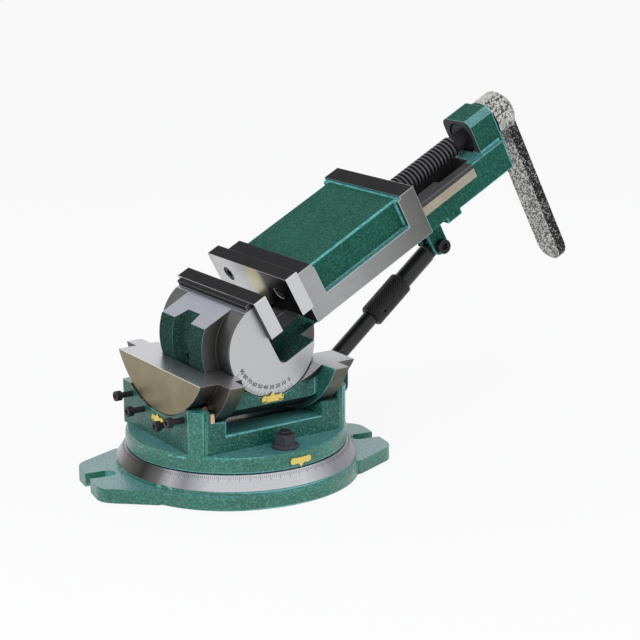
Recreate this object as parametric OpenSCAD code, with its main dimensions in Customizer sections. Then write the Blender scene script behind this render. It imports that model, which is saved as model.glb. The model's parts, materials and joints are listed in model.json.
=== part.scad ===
// Angle milling vise: a bolted-down round base, a swivelling body, a cradle that tilts sideways and
// a vise body that lifts at its head and is held there by a telescopic strut. All sizes are in millimetres.
// The frame: origin at the centre of the base's underside, +Z up, +X through the two slotted lugs.

/* [Pose] */
// Swivel of everything above the base at rest, in degrees
swivel_rest = 9.6; // [-90:0.1:90]
// Elevation of the vise bed at rest, in degrees
elevation_rest = 28; // [10:1:40]
// Opening between the jaw plates at rest
jaw_gap = 21.6; // [2:0.1:90]

/* [Base] */
// Radius of the graduated ring at its foot
ring_r = 101.5; // [98:0.1:116]
// Step from the ring's foot out to the flange's rim
flange_step = 2.6; // [1:0.1:12]
// Thickness of the flange and its lugs
base_t = 12; // [9:0.5:20]
// Length of each lug beyond the flange
lug_out = 27; // [18:0.5:40]
// Half width of a lug just before its rounded corners
lug_half_w = 40; // [30:1:50]
// Radius of the lug's rounded corners
lug_corner_r = 17; // [8:1:20]
// Width of the open slot in each lug
slot_w = 14; // [10:0.5:18]
// Distance from the flange's rim to the closed end of each slot
slot_start = 2.9; // [0.5:0.1:6]
// Height of the neck between flange and graduated ring
neck_h = 3.3; // [2:0.1:8]
// Step from the ring's foot in to the neck
neck_step = 0.2; // [0:0.1:2]
// How far the ring's bevel reaches in at its top
ring_bevel = 7.2; // [5:0.1:12]
// Height of the ring
ring_h = 11.5; // [8:0.1:14]
// Width of the ring's level top, most of which is under the swivel disc
ring_top_w = 5; // [3:0.5:7]

/* [Swivel body] */
// Step from the ring's top edge in to the swivel disc
disc_step = 1; // [0.5:0.5:3]
// Thickness of the swivel disc
disc_t = 13.3; // [11:0.1:18]
// Step from the disc's rim to the ends of the saddle box
box_end_step = 18.3; // [15:0.1:20]
// Step from the disc's rim to the sides of the saddle box
box_side_step = 31.3; // [28:0.1:33]
// Height of the saddle box above the disc
wall_h = 36.2; // [34:0.1:40]
// Radius of the box's upright corners on the side of the low pointer
box_corner_r = 12; // [6:0.5:14]
// Radius of the two upright corners at the back
back_corner_r = 3; // [2:0.5:14]
// Thickness of the end cheeks
cheek_t = 18; // [17:0.5:20]
// Step from the cheek's inner face to the low window in each side wall
window_step = 11.5; // [8:0.5:20]
// Height of the window's sill above the disc
sill_h = 14.1; // [11:0.1:18]
// Radius of the pivot pin
pivot_r = 18; // [14:0.5:22]

/* [Swivel clamping] */
// Diameter of the T-bolts
t_bolt_d = 10; // [8:0.5:12]
// Width of the T-bolts' square heads
t_head_w = 15; // [12:0.5:15]
// Thickness of the T-bolts' heads
t_head_t = 6; // [5:0.5:7]
// Height of a flange nut
flange_nut_h = 11.5; // [9:0.5:14]

/* [Cradle] */
// Thickness of the saddle's floor under the ribs
saddle_floor = 7.3; // [6:0.1:10]
// Radius of the two wide ribs about the tilt axis
rib_r = 97.5; // [94:0.1:102]
// Step from the ribs in to the end plates
end_plate_step = 15; // [12:0.5:18]
// Step from the box ends in to the end plates
end_plate_inset = 1.5; // [0.5:0.5:3]
// Width of each rib
rib_w = 14.1; // [10:0.1:16]
// Height of the ribs above the curved underside
rib_h = 4.5; // [3:0.1:7]
// Height of the cradle, from the ribs' lowest line up to its machined top
cradle_depth = 53; // [50:0.1:56]
// Step from the saddle's side in to the cradle's middle
middle_step = 5; // [4:0.5:8]
// Radius of the inside corners between wall and rib
cradle_fillet = 8; // [4:0.5:10]
// Depth of the channel for the bed at the open end
channel_depth = 13; // [11:0.5:16]

/* [Vise body] */
// Place of the elevation axis along the bed direction
drum_x = 2; // [-4:0.5:6]
// Height of the elevation axis above the cradle's top
drum_lift = 17.5; // [16:0.1:19]
// Radius of the centre drum
drum_r = 54.3; // [50:0.1:56]
// Half width of the centre drum
drum_half_w = 35.4; // [33:0.1:37]
// Step from the drum in to the two side discs
side_step = 13.3; // [12:0.1:18]
// Step from the cradle's wall in to the dial's face
side_inset = 1; // [0.6:0.1:3]
// Thickness of the graduated dial on the near side disc
dial_t = 1; // [0.6:0.1:2]
// Height of the machined ledge behind the fixed jaw
ledge_z = 40.2; // [38:0.1:42]
// Thickness of the wall behind the fixed jaw plate
back_wall_t = 4.5; // [3:0.1:8]
// Half width of the groove over the drum, at its mouth
groove_half_w = 13.2; // [11:0.1:14]
// Depth of the groove
groove_depth = 7.3; // [6:0.1:13]
// Half width of the bed
bed_half_w = 26.5; // [24:0.1:28]
// Height of the bed's top above the elevation axis
bed_top = 3.5; // [2:0.1:5]
// Depth of the bed below the elevation axis
bed_bottom = 24.5; // [22:0.1:25]
// Length of the bed from the elevation axis
bed_len = 297; // [292:1:301]
// Overhang of the screw head beyond the bed
head_overhang = 5; // [0:0.5:10]
// Thickness of the screw head
head_t = 27.3; // [24:0.1:30]
// Half width of the screw head
head_half_w = 19.8; // [18:0.1:24]
// Height of the screw head's top
head_top = 34.7; // [33:0.1:40]

/* [Jaws] */
// Width of the jaws
jaw_w = 125; // [110:1:130]
// Height of the jaw plates
plate_h = 36; // [28:0.5:36]
// Thickness of the jaw plates
plate_t = 12.1; // [9:0.1:14]
// Height of the plates' lower edge above the elevation axis
plate_z = 9.3; // [8:0.1:10]
// Half distance between the two screws of a plate
plate_screw_y = 39.5; // [36:0.5:44]
// Diameter of the plate screws
plate_screw_d = 8; // [5:0.5:8]
// Length of the movable jaw behind its plate
jaw_len = 132.7; // [120:0.1:134]
// Half width of the movable jaw's machined ends
jaw_half_w = 56; // [52:0.1:60]
// Half width of the movable jaw's painted top
jaw_top_half_w = 50; // [44:0.5:52]
// Height of the painted top
jaw_top = 36; // [34:0.1:37]
// Height of the black front land
jaw_land = 39.6; // [38:0.1:42]
// Depth of the jaw's skirts below the elevation axis
jaw_skirt = 8.3; // [4:0.1:12]

/* [Lead screw] */
// Height of the screw axis above the elevation axis
screw_z = 16; // [15.5:0.1:17]
// Outside diameter of the lead screw
screw_d = 19; // [16:0.5:20]
// Plain neck between the thread and the head
screw_neck = 12.7; // [8:0.1:20]
// Thread that stands out of the nut's far end at rest
thread_spare = 14.8; // [8:0.1:20]
// Diameter of the journal in the head
journal_d = 15.9; // [12:0.1:15.9]
// Radius of the thrust collar
collar_r = 14.5; // [12:0.1:14.8]
// Thickness of the thrust collar
collar_t = 5; // [3:0.5:6]
// Wall of the bush in the head
bush_wall = 3; // [2:0.1:4]
// Radius of the crank's hub
hub_r = 19; // [16:0.5:20]
// Length of the hub
hub_len = 28; // [24:1:32]
// Reach of the crank arm from the screw axis to its tip
crank_reach = 161; // [120:1:180]
// Width of the crank arm
crank_w = 28; // [20:0.5:30]
// Thickness of the crank arm
crank_t = 10; // [7:0.5:12]

/* [Strut] */
// Strut pivot on the bed, from the elevation axis along the bed
strut_pin_x = 206; // [204:1:216]
// Strut pivot's depth below the elevation axis
strut_pin_depth = 51.8; // [48:0.1:56]
// Distance of the strut's foot from the cradle's end
foot_out = 14.5; // [14.5:0.5:18]
// Height of the strut's foot above the swivel disc
foot_lift = 29.6; // [28:0.1:32]
// Radius of the round foot
foot_r = 8; // [7:0.5:9]
// Outside diameter of the strut's upper tube
tube_d = 16.5; // [16:0.1:18]
// Diameter of the strut's lower rod
rod_d = 14.4; // [12:0.1:14.4]
// Outside diameter of the locking sleeve
sleeve_d = 21.5; // [20:0.1:24]
// Distance from the strut pivot to the sleeve
sleeve_start = 46.4; // [44:0.1:56]
// Length of the sleeve
sleeve_len = 43.7; // [38:0.1:48]
// Half thickness of the clevis lug under the bed
clevis_half_w = 9.5; // [8.5:0.5:14]

/* [Clearances] */
// Gap between curved faces that swing past each other
swing_gap = 0.3; // [0.2:0.05:0.5]
// Radial clearance of a running fit
run_gap = 0.04; // [0.02:0.01:0.08]
// Side clearance of the movable jaw on the bed
slide_gap = 0.2; // [0.1:0.05:0.3]
// Clearance between the fixed parts of one casting group
seat_gap = 0.02; // [0.01:0.01:0.05]

/* [Hidden] */
$fn = 96;
eps = 0.01;

// Colours of the real surfaces
green = [0.09, 0.36, 0.30];
machined = [0.80, 0.80, 0.82];
bright = [0.86, 0.86, 0.88];
black = [0.09, 0.09, 0.10];
brass = [0.86, 0.74, 0.30];
bronze = [0.72, 0.50, 0.24];

// Radii and heights of the base
neck_r = ring_r - neck_step;
base_r = ring_r + flange_step;
ring_top_r = ring_r - ring_bevel;
ring_inner_r = ring_top_r - ring_top_w;
disc_r = ring_top_r - disc_step;
slot_inner = base_r + slot_start;
lug_reach = base_r + lug_out;
lug_root_x = 33;
lug_root_y = 20;
ring_z = base_t + neck_h;
base_top = ring_z + ring_h + swing_gap;
disc_top = base_top + disc_t;
edge_round = 3;
relief_h = 5;

// Saddle box
box_half_x = disc_r - box_end_step;
box_half_y = disc_r - box_side_step;
box_top_z = disc_top + wall_h;
cheek_inner_x = box_half_x - cheek_t;
window_half_x = cheek_inner_x - window_step;
window_z = disc_top + sill_h;

// Annular T-slot of the base
t_slot_r = (disc_r + box_half_y) / 2 - 1;
t_lip = 6.2;
t_neck_w = t_bolt_d + 1;
t_room_w = t_head_w + 1.5;
t_head_z = base_top - t_lip - t_head_t - 0.5;
t_room_top = base_top - t_lip;
t_room_floor = t_head_z - 0.8;
relief_r = t_slot_r - t_room_w / 2 - 7.75;
t_stud_top = disc_top + flange_nut_h + 2.5;
pivot_floor = 5;
pivot_top = disc_top + 4;

// Saddle and cradle
tilt_axis_z = disc_top + saddle_floor + rib_r + swing_gap;
end_plate_r = rib_r - end_plate_step;
end_plate_x = box_half_x - end_plate_inset;
cradle_under_r = rib_r - rib_h;
cradle_half_y = box_half_y - middle_step;
cradle_top_z = tilt_axis_z - rib_r + cradle_depth;
channel_floor_z = cradle_top_z - channel_depth;
saddle_rib_r = rib_r + swing_gap;
saddle_end_r = end_plate_r + swing_gap;
rib_outer_x = cheek_inner_x - 0.4;
rib_inner_x = rib_outer_x - rib_w;
cradle_top = cradle_top_z - tilt_axis_z;
passage_x0 = window_half_x;
passage_x1 = cheek_inner_x + 4;
passage_z = box_top_z - 10.1;
tilt_pointer_y = -1.5;
tilt_pointer_z = disc_top + 14.6;
tilt_rivet_y = 7.2;
rivet_r = 2.4;
swivel_pointer_z = 9;

// Screws that press on the gib in the -X cheek
clamp_r = end_plate_r + 6.5;
clamp_angles = [-29.5, -15.5, 15.5, 29.5];
clamp_d = 5;
clamp_head_d = 8.5;
clamp_head_l = 5.5;
clamp_reach = 16;
gib_r0 = end_plate_r + 1.8;
gib_r1 = rib_r - 1.3;
gib_t = 3.9;
gib_half_angle = round(asin((box_half_y - 4.1) / gib_r1));
gib_end_z = tilt_axis_z - gib_r1 * cos(gib_half_angle);
gib_play = 0.1;

// Seats of the vise body in the cradle
drum_z = cradle_top_z + drum_lift;
drum_dz = drum_z - tilt_axis_z;
side_r = drum_r - side_step;
side_half_w = cradle_half_y - side_inset;
seat_drum_r = drum_r + swing_gap + 0.05;
seat_side_r = side_r + swing_gap;
channel_half_y = drum_half_w + 0.4;

// Vise body
plate_x0 = 0.3;
plate_x1 = plate_x0 + plate_t;
back_wall_top = ledge_z + 4.6;
pocket_z = -18.8;
pocket_r = 6;
t_slot_inner_r = drum_r - groove_depth;
head_front = bed_len + head_overhang - head_t;
hold_d = 8;
hold_head_d = 14;
hold_nut_t = 5;
hold_recess = 6;
hold_recess_r = 10.5;
groove_from = 104;
hold_head_t = 4.5;
hold_floor_r = t_slot_inner_r - 6;
hold_slot_from = 166;
hold_slot_to = 290;
bed_slot_half_w = 9;
bed_room_half_w = 16;
nut_len = 30;
bed_slot_x0 = 18;
bed_slot_x1 = head_front - screw_neck;
bed_entry_x = bed_slot_x1 - nut_len - 6;
bed_lip = 9.5;
bed_room_floor = bed_top - bed_lip - 8;
recess_r = collar_r + 1;
recess_t = 6.3;
head_back = head_front + head_t;
pad_x0 = strut_pin_x + 7;
pad_x1 = pad_x0 + 17;
pad_depth = 5;

// Movable jaw
mplate_x0 = plate_x1 + jaw_gap;
mplate_x1 = mplate_x0 + plate_t;
jaw_back = mplate_x1 + jaw_len;
front_leg = 18.8;
rear_leg = 18.9;
plate_screw_z = plate_z + plate_h * 0.53;
plate_head_d = plate_screw_d + 5;
plate_head_l = 7;
plate_screw_grip = 13;
pocket_y0 = 20;
pocket_y1 = 44;
pocket_top = 28;
strip_top = 9.5;
jaw_rear_top = 38.9;
nut_half_w = 14.7;
nut_x1 = jaw_back - 6;
nut_x0 = nut_x1 - nut_len;
nut_top = screw_z + 13.5;
keeper_screw_d = 5;
keeper_head_d = 9;
keeper_head_l = 3;
keeper_screw_in = 7;
keeper_half_w = bed_room_half_w - 0.5;
keeper_t = 7;
keeper_top = bed_top - bed_lip - 0.3;

// Lead screw
thread_x0 = nut_x0 - thread_spare;
thread_x1 = head_front - screw_neck;
stub_d = journal_d - 2;
hub_x0 = head_back + 2;
hub_x1 = hub_x0 + hub_len;
crank_x0 = hub_x0 + 11;
crank_pin_x = 6;
crank_pin_d = 5;

// Strut: its direction follows from the two pivots
foot_x = end_plate_x + foot_out;
foot_z = disc_top + foot_lift;
pin_world = [drum_x + strut_pin_x * cos(elevation_rest) + strut_pin_depth * sin(elevation_rest),
             drum_z + strut_pin_x * sin(elevation_rest) - strut_pin_depth * cos(elevation_rest)];
strut_dx = pin_world[0] - foot_x;
strut_dz = pin_world[1] - foot_z;
strut_len = sqrt(strut_dx * strut_dx + strut_dz * strut_dz);
strut_angle = atan2(strut_dz, strut_dx);
strut_bolt_d = 8;
strut_nut_t = 6.5;
tongue_half_w = 4.5;
eye_r = 8;
tube_x0 = 12;
tube_x1 = sleeve_start + sleeve_len / 2;
rod_x0 = sleeve_start + 13.5;
rod_bore_x0 = 19.5;
sleeve_end = sleeve_start + sleeve_len;
bracket_t = 4.5;
ear_gap = foot_r + 0.5;
ear_t = 5;
ear_margin = 10;
bracket_x0 = end_plate_x;
bracket_low_z = foot_z - 2;
bracket_high_z = foot_z + 2 * foot_r - 2;
bracket_screw_d = 6;
bracket_head_d = 8.5;
bracket_head_l = 4;
bracket_screw_y = ear_gap + ear_t + bracket_head_d / 2 + 0.75;
bracket_screw_z = foot_z + 9;
bracket_screw_in = 13;
bracket_half_y = bracket_screw_y + 5.5;
lock_screw_x = sleeve_start + sleeve_len - 10.7;
lock_screw_r = 3;
elevation_pointer_z = drum_z - side_r - 3.7;

// Frames

module on_swivel() {
    rotate([0, 0, swivel_rest]) children();
}

module on_cradle() {
    on_swivel() translate([0, 0, tilt_axis_z]) children();
}

module on_vise() {
    on_swivel() translate([drum_x, 0, drum_z]) rotate([0, -elevation_rest, 0]) children();
}

module on_screw() {
    on_vise() translate([0, 0, screw_z]) rotate([0, 90, 0]) children();
}

module on_strut() {
    on_swivel() translate([pin_world[0], 0, pin_world[1]]) rotate([0, 180 - strut_angle, 0]) children();
}

// General shapes

// A solid of revolution about Y, from the outline's (radius, y) plane, over an arc from the +X side up to +Z
module sector_y(from, to) {
    rotate([90, 0, 0]) rotate([0, 0, from]) rotate_extrude(angle = to - from) children();
}

// A cylinder along X between two places
module bar_x(x0, x1, r) {
    translate([x0, 0, 0]) rotate([0, 90, 0]) cylinder(h = x1 - x0, r = r);
}

// A cylinder along Y between two places
module bar_y(y0, y1, r) {
    translate([0, y1, 0]) rotate([90, 0, 0]) cylinder(h = y1 - y0, r = r);
}

// A box from corner to corner
module block(a, b) {
    translate(a) cube([b[0] - a[0], b[1] - a[1], b[2] - a[2]]);
}

// A box that is even about the plane y = 0
module even_block(x0, x1, half_y, z0, z1) {
    block([x0, -half_y, z0], [x1, half_y, z1]);
}

// A rectangle with round corners, from corner to corner
module round_rect(a, b, r) {
    translate([a[0] + r, a[1]]) square([b[0] - a[0] - 2 * r, b[1] - a[1]]);
    translate([a[0], a[1] + r]) square([b[0] - a[0], b[1] - a[1] - 2 * r]);
    for (x = [a[0] + r, b[0] - r])
        for (y = [a[1] + r, b[1] - r])
            translate([x, y]) circle(r);
}

// A socket head cap screw along +X from the seat of its head, with the head on the -X side
module cap_screw_x(d, shank, head_d, head_l) {
    difference() {
        union() {
            bar_x(0, shank, d / 2);
            bar_x(-head_l, 0, head_d / 2);
        }
        translate([-head_l - eps, 0, 0]) rotate([0, 90, 0])
            cylinder(h = head_l * 0.55, r = d * 0.46, $fn = 6);
    }
}

// A hexagon nut with a round flange, standing on z = 0
module flange_nut(af, h, flange_d, bore_d) {
    difference() {
        union() {
            cylinder(h = 2.5, d = flange_d);
            intersection() {
                cylinder(h = h, d = af / cos(30), $fn = 6);
                cylinder(h = h, r1 = h + af / 2, r2 = af / 2);
            }
        }
        translate([0, 0, -1]) cylinder(h = h + 2, d = bore_d);
    }
}

// Base

// One lug's outline, towards +X: a tapered trapezium with round outer corners
module lug_outline() {
    corner = [lug_reach - lug_corner_r, lug_half_w - lug_corner_r];
    root = [corner[0] - lug_root_x, corner[1] + lug_root_y];
    taper = atan2(root[1] - corner[1], corner[0] - root[0]);
    out = [sin(taper) * lug_corner_r, cos(taper) * lug_corner_r];
    for (side = [-1, 1])
        translate([corner[0], side * corner[1]]) circle(lug_corner_r);
    polygon([[0, -root[1] - out[1]], [root[0] + out[0], -root[1] - out[1]],
             [corner[0] + out[0], -corner[1] - out[1]], [corner[0], -corner[1]],
             [lug_reach, -corner[1]], [lug_reach, corner[1]], [corner[0], corner[1]],
             [corner[0] + out[0], corner[1] + out[1]], [root[0] + out[0], root[1] + out[1]],
             [0, root[1] + out[1]]]);
}

module slot_cut() {
    centre = slot_inner + slot_w / 2;
    translate([centre, 0, -1]) cylinder(h = base_t + 2, d = slot_w);
    block([centre, -slot_w / 2, -1], [lug_reach + 1, slot_w / 2, base_t + 1]);
}

module base_casting() {
    color(green) difference() {
        union() {
            rotate_extrude() {
                square([base_r - edge_round, base_t]);
                square([base_r, base_t - edge_round]);
                translate([base_r - edge_round, base_t - edge_round]) circle(edge_round);
                square([neck_r, ring_z]);
                square([ring_inner_r - seat_gap, base_top]);
            }
            for (a = [0, 180])
                rotate([0, 0, a]) linear_extrude(base_t) lug_outline();
        }
        for (a = [0, 180])
            rotate([0, 0, a]) slot_cut();
        translate([0, 0, -1]) cylinder(h = relief_h + 1, r = relief_r);
        translate([0, 0, pivot_floor - 1]) cylinder(h = base_top, r = pivot_r + seat_gap);
        rotate_extrude() {
            translate([t_slot_r - t_neck_w / 2, t_room_floor]) square([t_neck_w, base_top]);
            translate([t_slot_r - t_room_w / 2, t_room_floor]) square([t_room_w, t_room_top - t_room_floor]);
        }
    }
}

module graduated_ring() {
    foot_h = 0.8;
    top_land = 0.5;
    color(bright) translate([0, 0, ring_z]) rotate_extrude()
        polygon([[ring_inner_r, 0], [ring_r, 0], [ring_r, foot_h], [ring_top_r, ring_h - top_land],
                 [ring_top_r - top_land, ring_h], [ring_inner_r, ring_h]]);
}

module pivot_pin() {
    chamfer = 1;
    color(machined) rotate_extrude()
        polygon([[0, pivot_floor], [pivot_r, pivot_floor], [pivot_r, pivot_top - chamfer],
                 [pivot_r - chamfer, pivot_top], [0, pivot_top]]);
}

// Swivel body

module saddle_cut() {
    translate([0, 0, tilt_axis_z]) {
        bar_x(-cheek_inner_x, cheek_inner_x, saddle_rib_r);
        bar_x(-box_half_x - 1, box_half_x + 1, saddle_end_r);
    }
}

// Place of one gib screw on the -X cheek
module at_clamp(a) {
    translate([0, clamp_r * sin(a), tilt_axis_z - clamp_r * cos(a)]) children();
}

module gib_arc(r0, r1, half_angle) {
    translate([0, 0, tilt_axis_z]) rotate([0, 90, 0]) rotate([0, 0, -half_angle])
        rotate_extrude(angle = 2 * half_angle) translate([r0, 0]) square([r1 - r0, gib_t + gib_play]);
}

module box_outline() {
    round_rect([-box_half_x, -box_half_y], [box_half_x, box_half_y], box_corner_r);
    round_rect([-box_half_x, -box_corner_r], [box_half_x, box_half_y], back_corner_r);
}

module swivel_body() {
    inset = edge_round;
    color(green) on_swivel() difference() {
        union() {
            translate([0, 0, base_top]) rotate_extrude() {
                square([disc_r - inset, disc_t]);
                square([disc_r, disc_t - inset]);
                translate([disc_r - inset, disc_t - inset]) circle(inset);
            }
            translate([0, 0, disc_top - 1]) linear_extrude(box_top_z - disc_top + 1)
                box_outline();
        }
        saddle_cut();
        even_block(-window_half_x, window_half_x, box_half_y + 1, window_z, box_top_z + 1);
        for (side = [-1, 1])
            even_block(min(side * passage_x0, side * passage_x1), max(side * passage_x0, side * passage_x1),
                       box_half_y + 1, passage_z, box_top_z + 1);
        translate([0, 0, base_top - 1]) cylinder(h = pivot_top - base_top + 1.5, r = pivot_r + run_gap);
        for (side = [-1, 1])
            translate([0, side * t_slot_r, base_top - 1]) cylinder(h = disc_t + 2, d = t_bolt_d + 0.6);
        for (a = clamp_angles)
            at_clamp(a) bar_x(-box_half_x - 1, -cheek_inner_x, clamp_d / 2 + seat_gap);
        translate([-cheek_inner_x - gib_t - gib_play, 0, 0])
            gib_arc(gib_r0 - swing_gap, gib_r1 + swing_gap, gib_half_angle + 3);
    }
}

// The two T-bolts stand in the base's annular slot and carry the swivel body round with them
module swivel_bolts() {
    color(black) on_swivel() for (side = [-1, 1])
        translate([0, side * t_slot_r, 0]) {
            translate([-t_head_w / 2, -t_head_w / 2, t_head_z]) cube([t_head_w, t_head_w, t_head_t]);
            translate([0, 0, t_head_z]) cylinder(h = t_stud_top - t_head_z, d = t_bolt_d);
        }
}

module swivel_nuts() {
    across_flats = 16;
    flange_d = 22;
    color(black) on_swivel() for (side = [-1, 1])
        translate([0, side * t_slot_r, disc_top])
            flange_nut(across_flats, flange_nut_h, flange_d, t_bolt_d + 2 * seat_gap);
}

// A plate with round ends and a tip: its lower edge's middle is the origin, and the tip points up
module pointer_outline(half_w, plate_w, tip) {
    tip_half_w = 2.4;
    end_r = plate_w * 0.58;
    translate([-half_w + end_r, 0]) square([2 * (half_w - end_r), plate_w]);
    for (side = [-1, 1])
        translate([side * (half_w - end_r), plate_w / 2]) circle(end_r);
    polygon([[-tip_half_w, plate_w - eps], [tip_half_w, plate_w - eps], [0, tip]]);
}

// A plate that follows the disc's rim, with its tip down at the ring
module swivel_pointer() {
    thickness = 1.3;
    color(brass) on_swivel() rotate([0, 0, 2.4]) intersection() {
        difference() {
            cylinder(h = disc_top, r = disc_r + thickness);
            translate([0, 0, -1]) cylinder(h = disc_top + 2, r = disc_r + seat_gap);
        }
        translate([0, -disc_r / 2, base_top + swivel_pointer_z]) rotate([90, 0, 0]) linear_extrude(disc_r)
            mirror([0, 1]) pointer_outline(10, 5, swivel_pointer_z - 0.5);
    }
}

// The pointer lies on the -X cheek, with its tip up at the end plate's rim
module tilt_pointer() {
    thickness = 1.2;
    color(brass) on_swivel() translate([-box_half_x, tilt_pointer_y, tilt_pointer_z])
        rotate([90, 0, -90]) linear_extrude(thickness) pointer_outline(10, 4.8, 7.2);
}

module tilt_pointer_rivets() {
    color(brass) on_swivel() for (side = [-1, 1])
        translate([-box_half_x - 1.2, tilt_pointer_y + side * tilt_rivet_y, tilt_pointer_z + 2.4])
            rotate([0, -90, 0]) rivet_head();
}

// A low domed head on z = 0
module rivet_head() {
    height = 1.1;
    ball_r = (rivet_r * rivet_r + height * height) / (2 * height);
    intersection() {
        translate([0, 0, height - ball_r]) sphere(ball_r, $fn = 48);
        cylinder(h = height, r = rivet_r);
    }
}

module tilt_clamp_screws() {
    shank = clamp_reach - clamp_head_l + cheek_t - gib_t - gib_play;
    color(black) on_swivel() for (a = clamp_angles)
        at_clamp(a) translate([-box_half_x - clamp_reach + clamp_head_l, 0, 0])
            cap_screw_x(clamp_d, shank, clamp_head_d, clamp_head_l);
}

// A brass strip that the four screws press against the cradle's rib, with a tab that shows at the near side
module tilt_gib() {
    tab_y0 = box_half_y + 0.8;
    tab_y1 = box_half_y - 9;
    tab_z0 = gib_end_z - 1.9;
    tab_z1 = gib_end_z + 6.4;
    color(brass) on_swivel() translate([-cheek_inner_x - gib_t, 0, 0]) {
        translate([gib_play, 0, 0]) difference() {
            gib_arc(gib_r0, gib_r1, gib_half_angle);
            translate([gib_t - gib_play, -rib_r, 0]) cube([10, 2 * rib_r, 2 * rib_r]);
        }
        translate([gib_play, -tab_y0, tab_z0]) cube([gib_t - gib_play, tab_y0 - tab_y1, tab_z1 - tab_z0]);
    }
}

// Cradle

module cradle_slice(x0, x1, r) {
    intersection() {
        bar_x(x0, x1, r);
        even_block(x0, x1, r, -r, cradle_top);
    }
}

module cradle() {
    color(green) on_cradle() difference() {
        union() {
            cradle_slice(-end_plate_x, end_plate_x, end_plate_r);
            for (side = [-1, 1])
                cradle_slice(min(side * rib_inner_x, side * rib_outer_x),
                             max(side * rib_inner_x, side * rib_outer_x), rib_r);
            intersection() {
                bar_x(-rib_inner_x - 1, rib_inner_x + 1, cradle_under_r);
                union() {
                    even_block(-rib_inner_x - 1, rib_inner_x + 1, cradle_half_y, -cradle_under_r, cradle_top);
                    for (sx = [-1, 1])
                        for (sy = [-1, 1])
                            translate([sx * rib_inner_x, sy * cradle_half_y, -cradle_under_r])
                                linear_extrude(cradle_under_r + cradle_top) corner_fill(sx, sy);
                }
            }
        }
        translate([drum_x, 0, drum_dz]) {
            bar_y(-channel_half_y, channel_half_y, seat_drum_r);
            bar_y(-rib_r, rib_r, seat_side_r);
        }
        even_block(drum_x, end_plate_x + 1, channel_half_y, channel_floor_z - tilt_axis_z, cradle_top + 1);
        translate([drum_x, 0, -rib_r]) cylinder(h = rib_r, r = hold_d / 2 + 0.4);
        translate([drum_x, 0, -rib_r]) cylinder(h = rib_h + hold_recess, r = hold_recess_r);
        for (side = [-1, 1])
            translate([0, side * bracket_screw_y, bracket_screw_z - tilt_axis_z])
                bar_x(end_plate_x - bracket_screw_in - 1, end_plate_x + 1, bracket_screw_d / 2 + seat_gap);
    }
}

// A square corner with a concave round edge, which fills the angle between wall and rib
module corner_fill(sx, sy) {
    f = cradle_fillet;
    difference() {
        polygon([[sx, -sy], [-sx * f, -sy], [-sx * f, sy * eps], [0, sy * f], [sx, sy * f]]);
        translate([-sx * f, sy * f]) circle(f);
    }
}

module elevation_pointer() {
    thickness = 1.2;
    color(brass) on_swivel() translate([0.5, -cradle_half_y, elevation_pointer_z])
        rotate([90, 0, 0]) linear_extrude(thickness) pointer_outline(10.5, 5.2, 8);
}

module elevation_pointer_rivets() {
    color(brass) on_swivel() for (side = [-1, 1])
        translate([0.5 + side * 7.6, -cradle_half_y - 1.2, elevation_pointer_z + 2.6])
            rotate([90, 0, 0]) rivet_head();
}

// The bolt stands in the cradle's floor, and its head holds the drum down from inside the curved slot
module hold_down_bolt() {
    head_r = hold_floor_r - 0.4;
    low = hold_recess - cradle_under_r - hold_nut_t - 0.3;
    color(black) on_cradle() translate([drum_x, 0, 0]) {
        translate([0, 0, low]) cylinder(h = drum_dz - head_r + 1 - low, d = hold_d);
        translate([0, 0, drum_dz - head_r]) cylinder(h = hold_head_t, d = hold_head_d);
    }
}

module hold_down_nut() {
    across_flats = hold_d * 1.625;
    color(black) on_cradle() translate([drum_x, 0, hold_recess - cradle_under_r - hold_nut_t]) difference() {
        cylinder(h = hold_nut_t, d = across_flats / cos(30), $fn = 6);
        translate([0, 0, -1]) cylinder(h = hold_nut_t + 2, d = hold_d + 2 * seat_gap);
    }
}

// Two ears that hold the strut's foot between them, on a plate screwed to the cradle's end
module strut_bracket() {
    color(green) on_swivel() difference() {
        union() {
            even_block(bracket_x0, bracket_x0 + bracket_t, bracket_half_y, bracket_low_z, bracket_high_z);
            for (side = [-1, 1])
                translate([0, side * (ear_gap + ear_t / 2) + ear_t / 2, 0]) rotate([90, 0, 0])
                    linear_extrude(ear_t) ear_outline();
        }
        for (side = [-1, 1])
            translate([0, side * bracket_screw_y, bracket_screw_z])
                bar_x(bracket_x0 - 1, bracket_x0 + bracket_t + 1, bracket_screw_d / 2 + 0.3);
    }
}

// The side view of an ear, in the X-Z plane: square at the plate, round at its free corners
module ear_outline() {
    x0 = bracket_x0 + bracket_t - 1;
    x1 = foot_x + foot_r + ear_margin;
    z0 = foot_z - foot_r - ear_margin;
    z1 = foot_z + foot_r + 2;
    corner = foot_r - 1;
    translate([x0, z0]) square([x1 - x0 - corner, z1 - z0]);
    translate([x0, z0 + corner]) square([x1 - x0, z1 - z0 - 2 * corner]);
    for (z = [z0 + corner, z1 - corner])
        translate([x1 - corner, z]) circle(corner);
}

module strut_bracket_screws() {
    color(black) on_swivel() for (side = [-1, 1])
        translate([bracket_x0 + bracket_t, side * bracket_screw_y, bracket_screw_z])
            rotate([0, 180, 0])
                cap_screw_x(bracket_screw_d, bracket_t + bracket_screw_in, bracket_head_d, bracket_head_l);
}

// Vise body: the frame of these modules lies in the drum axis, X along the bed

// What the open corner of the discs leaves free, seen along Y
module open_corner() {
    far = 2 * drum_r;
    translate([plate_x0 + pocket_r, pocket_z]) square([far, far]);
    translate([plate_x0, pocket_z + pocket_r]) square([far, far]);
    translate([plate_x0 + pocket_r, pocket_z + pocket_r]) circle(pocket_r);
}

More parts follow.
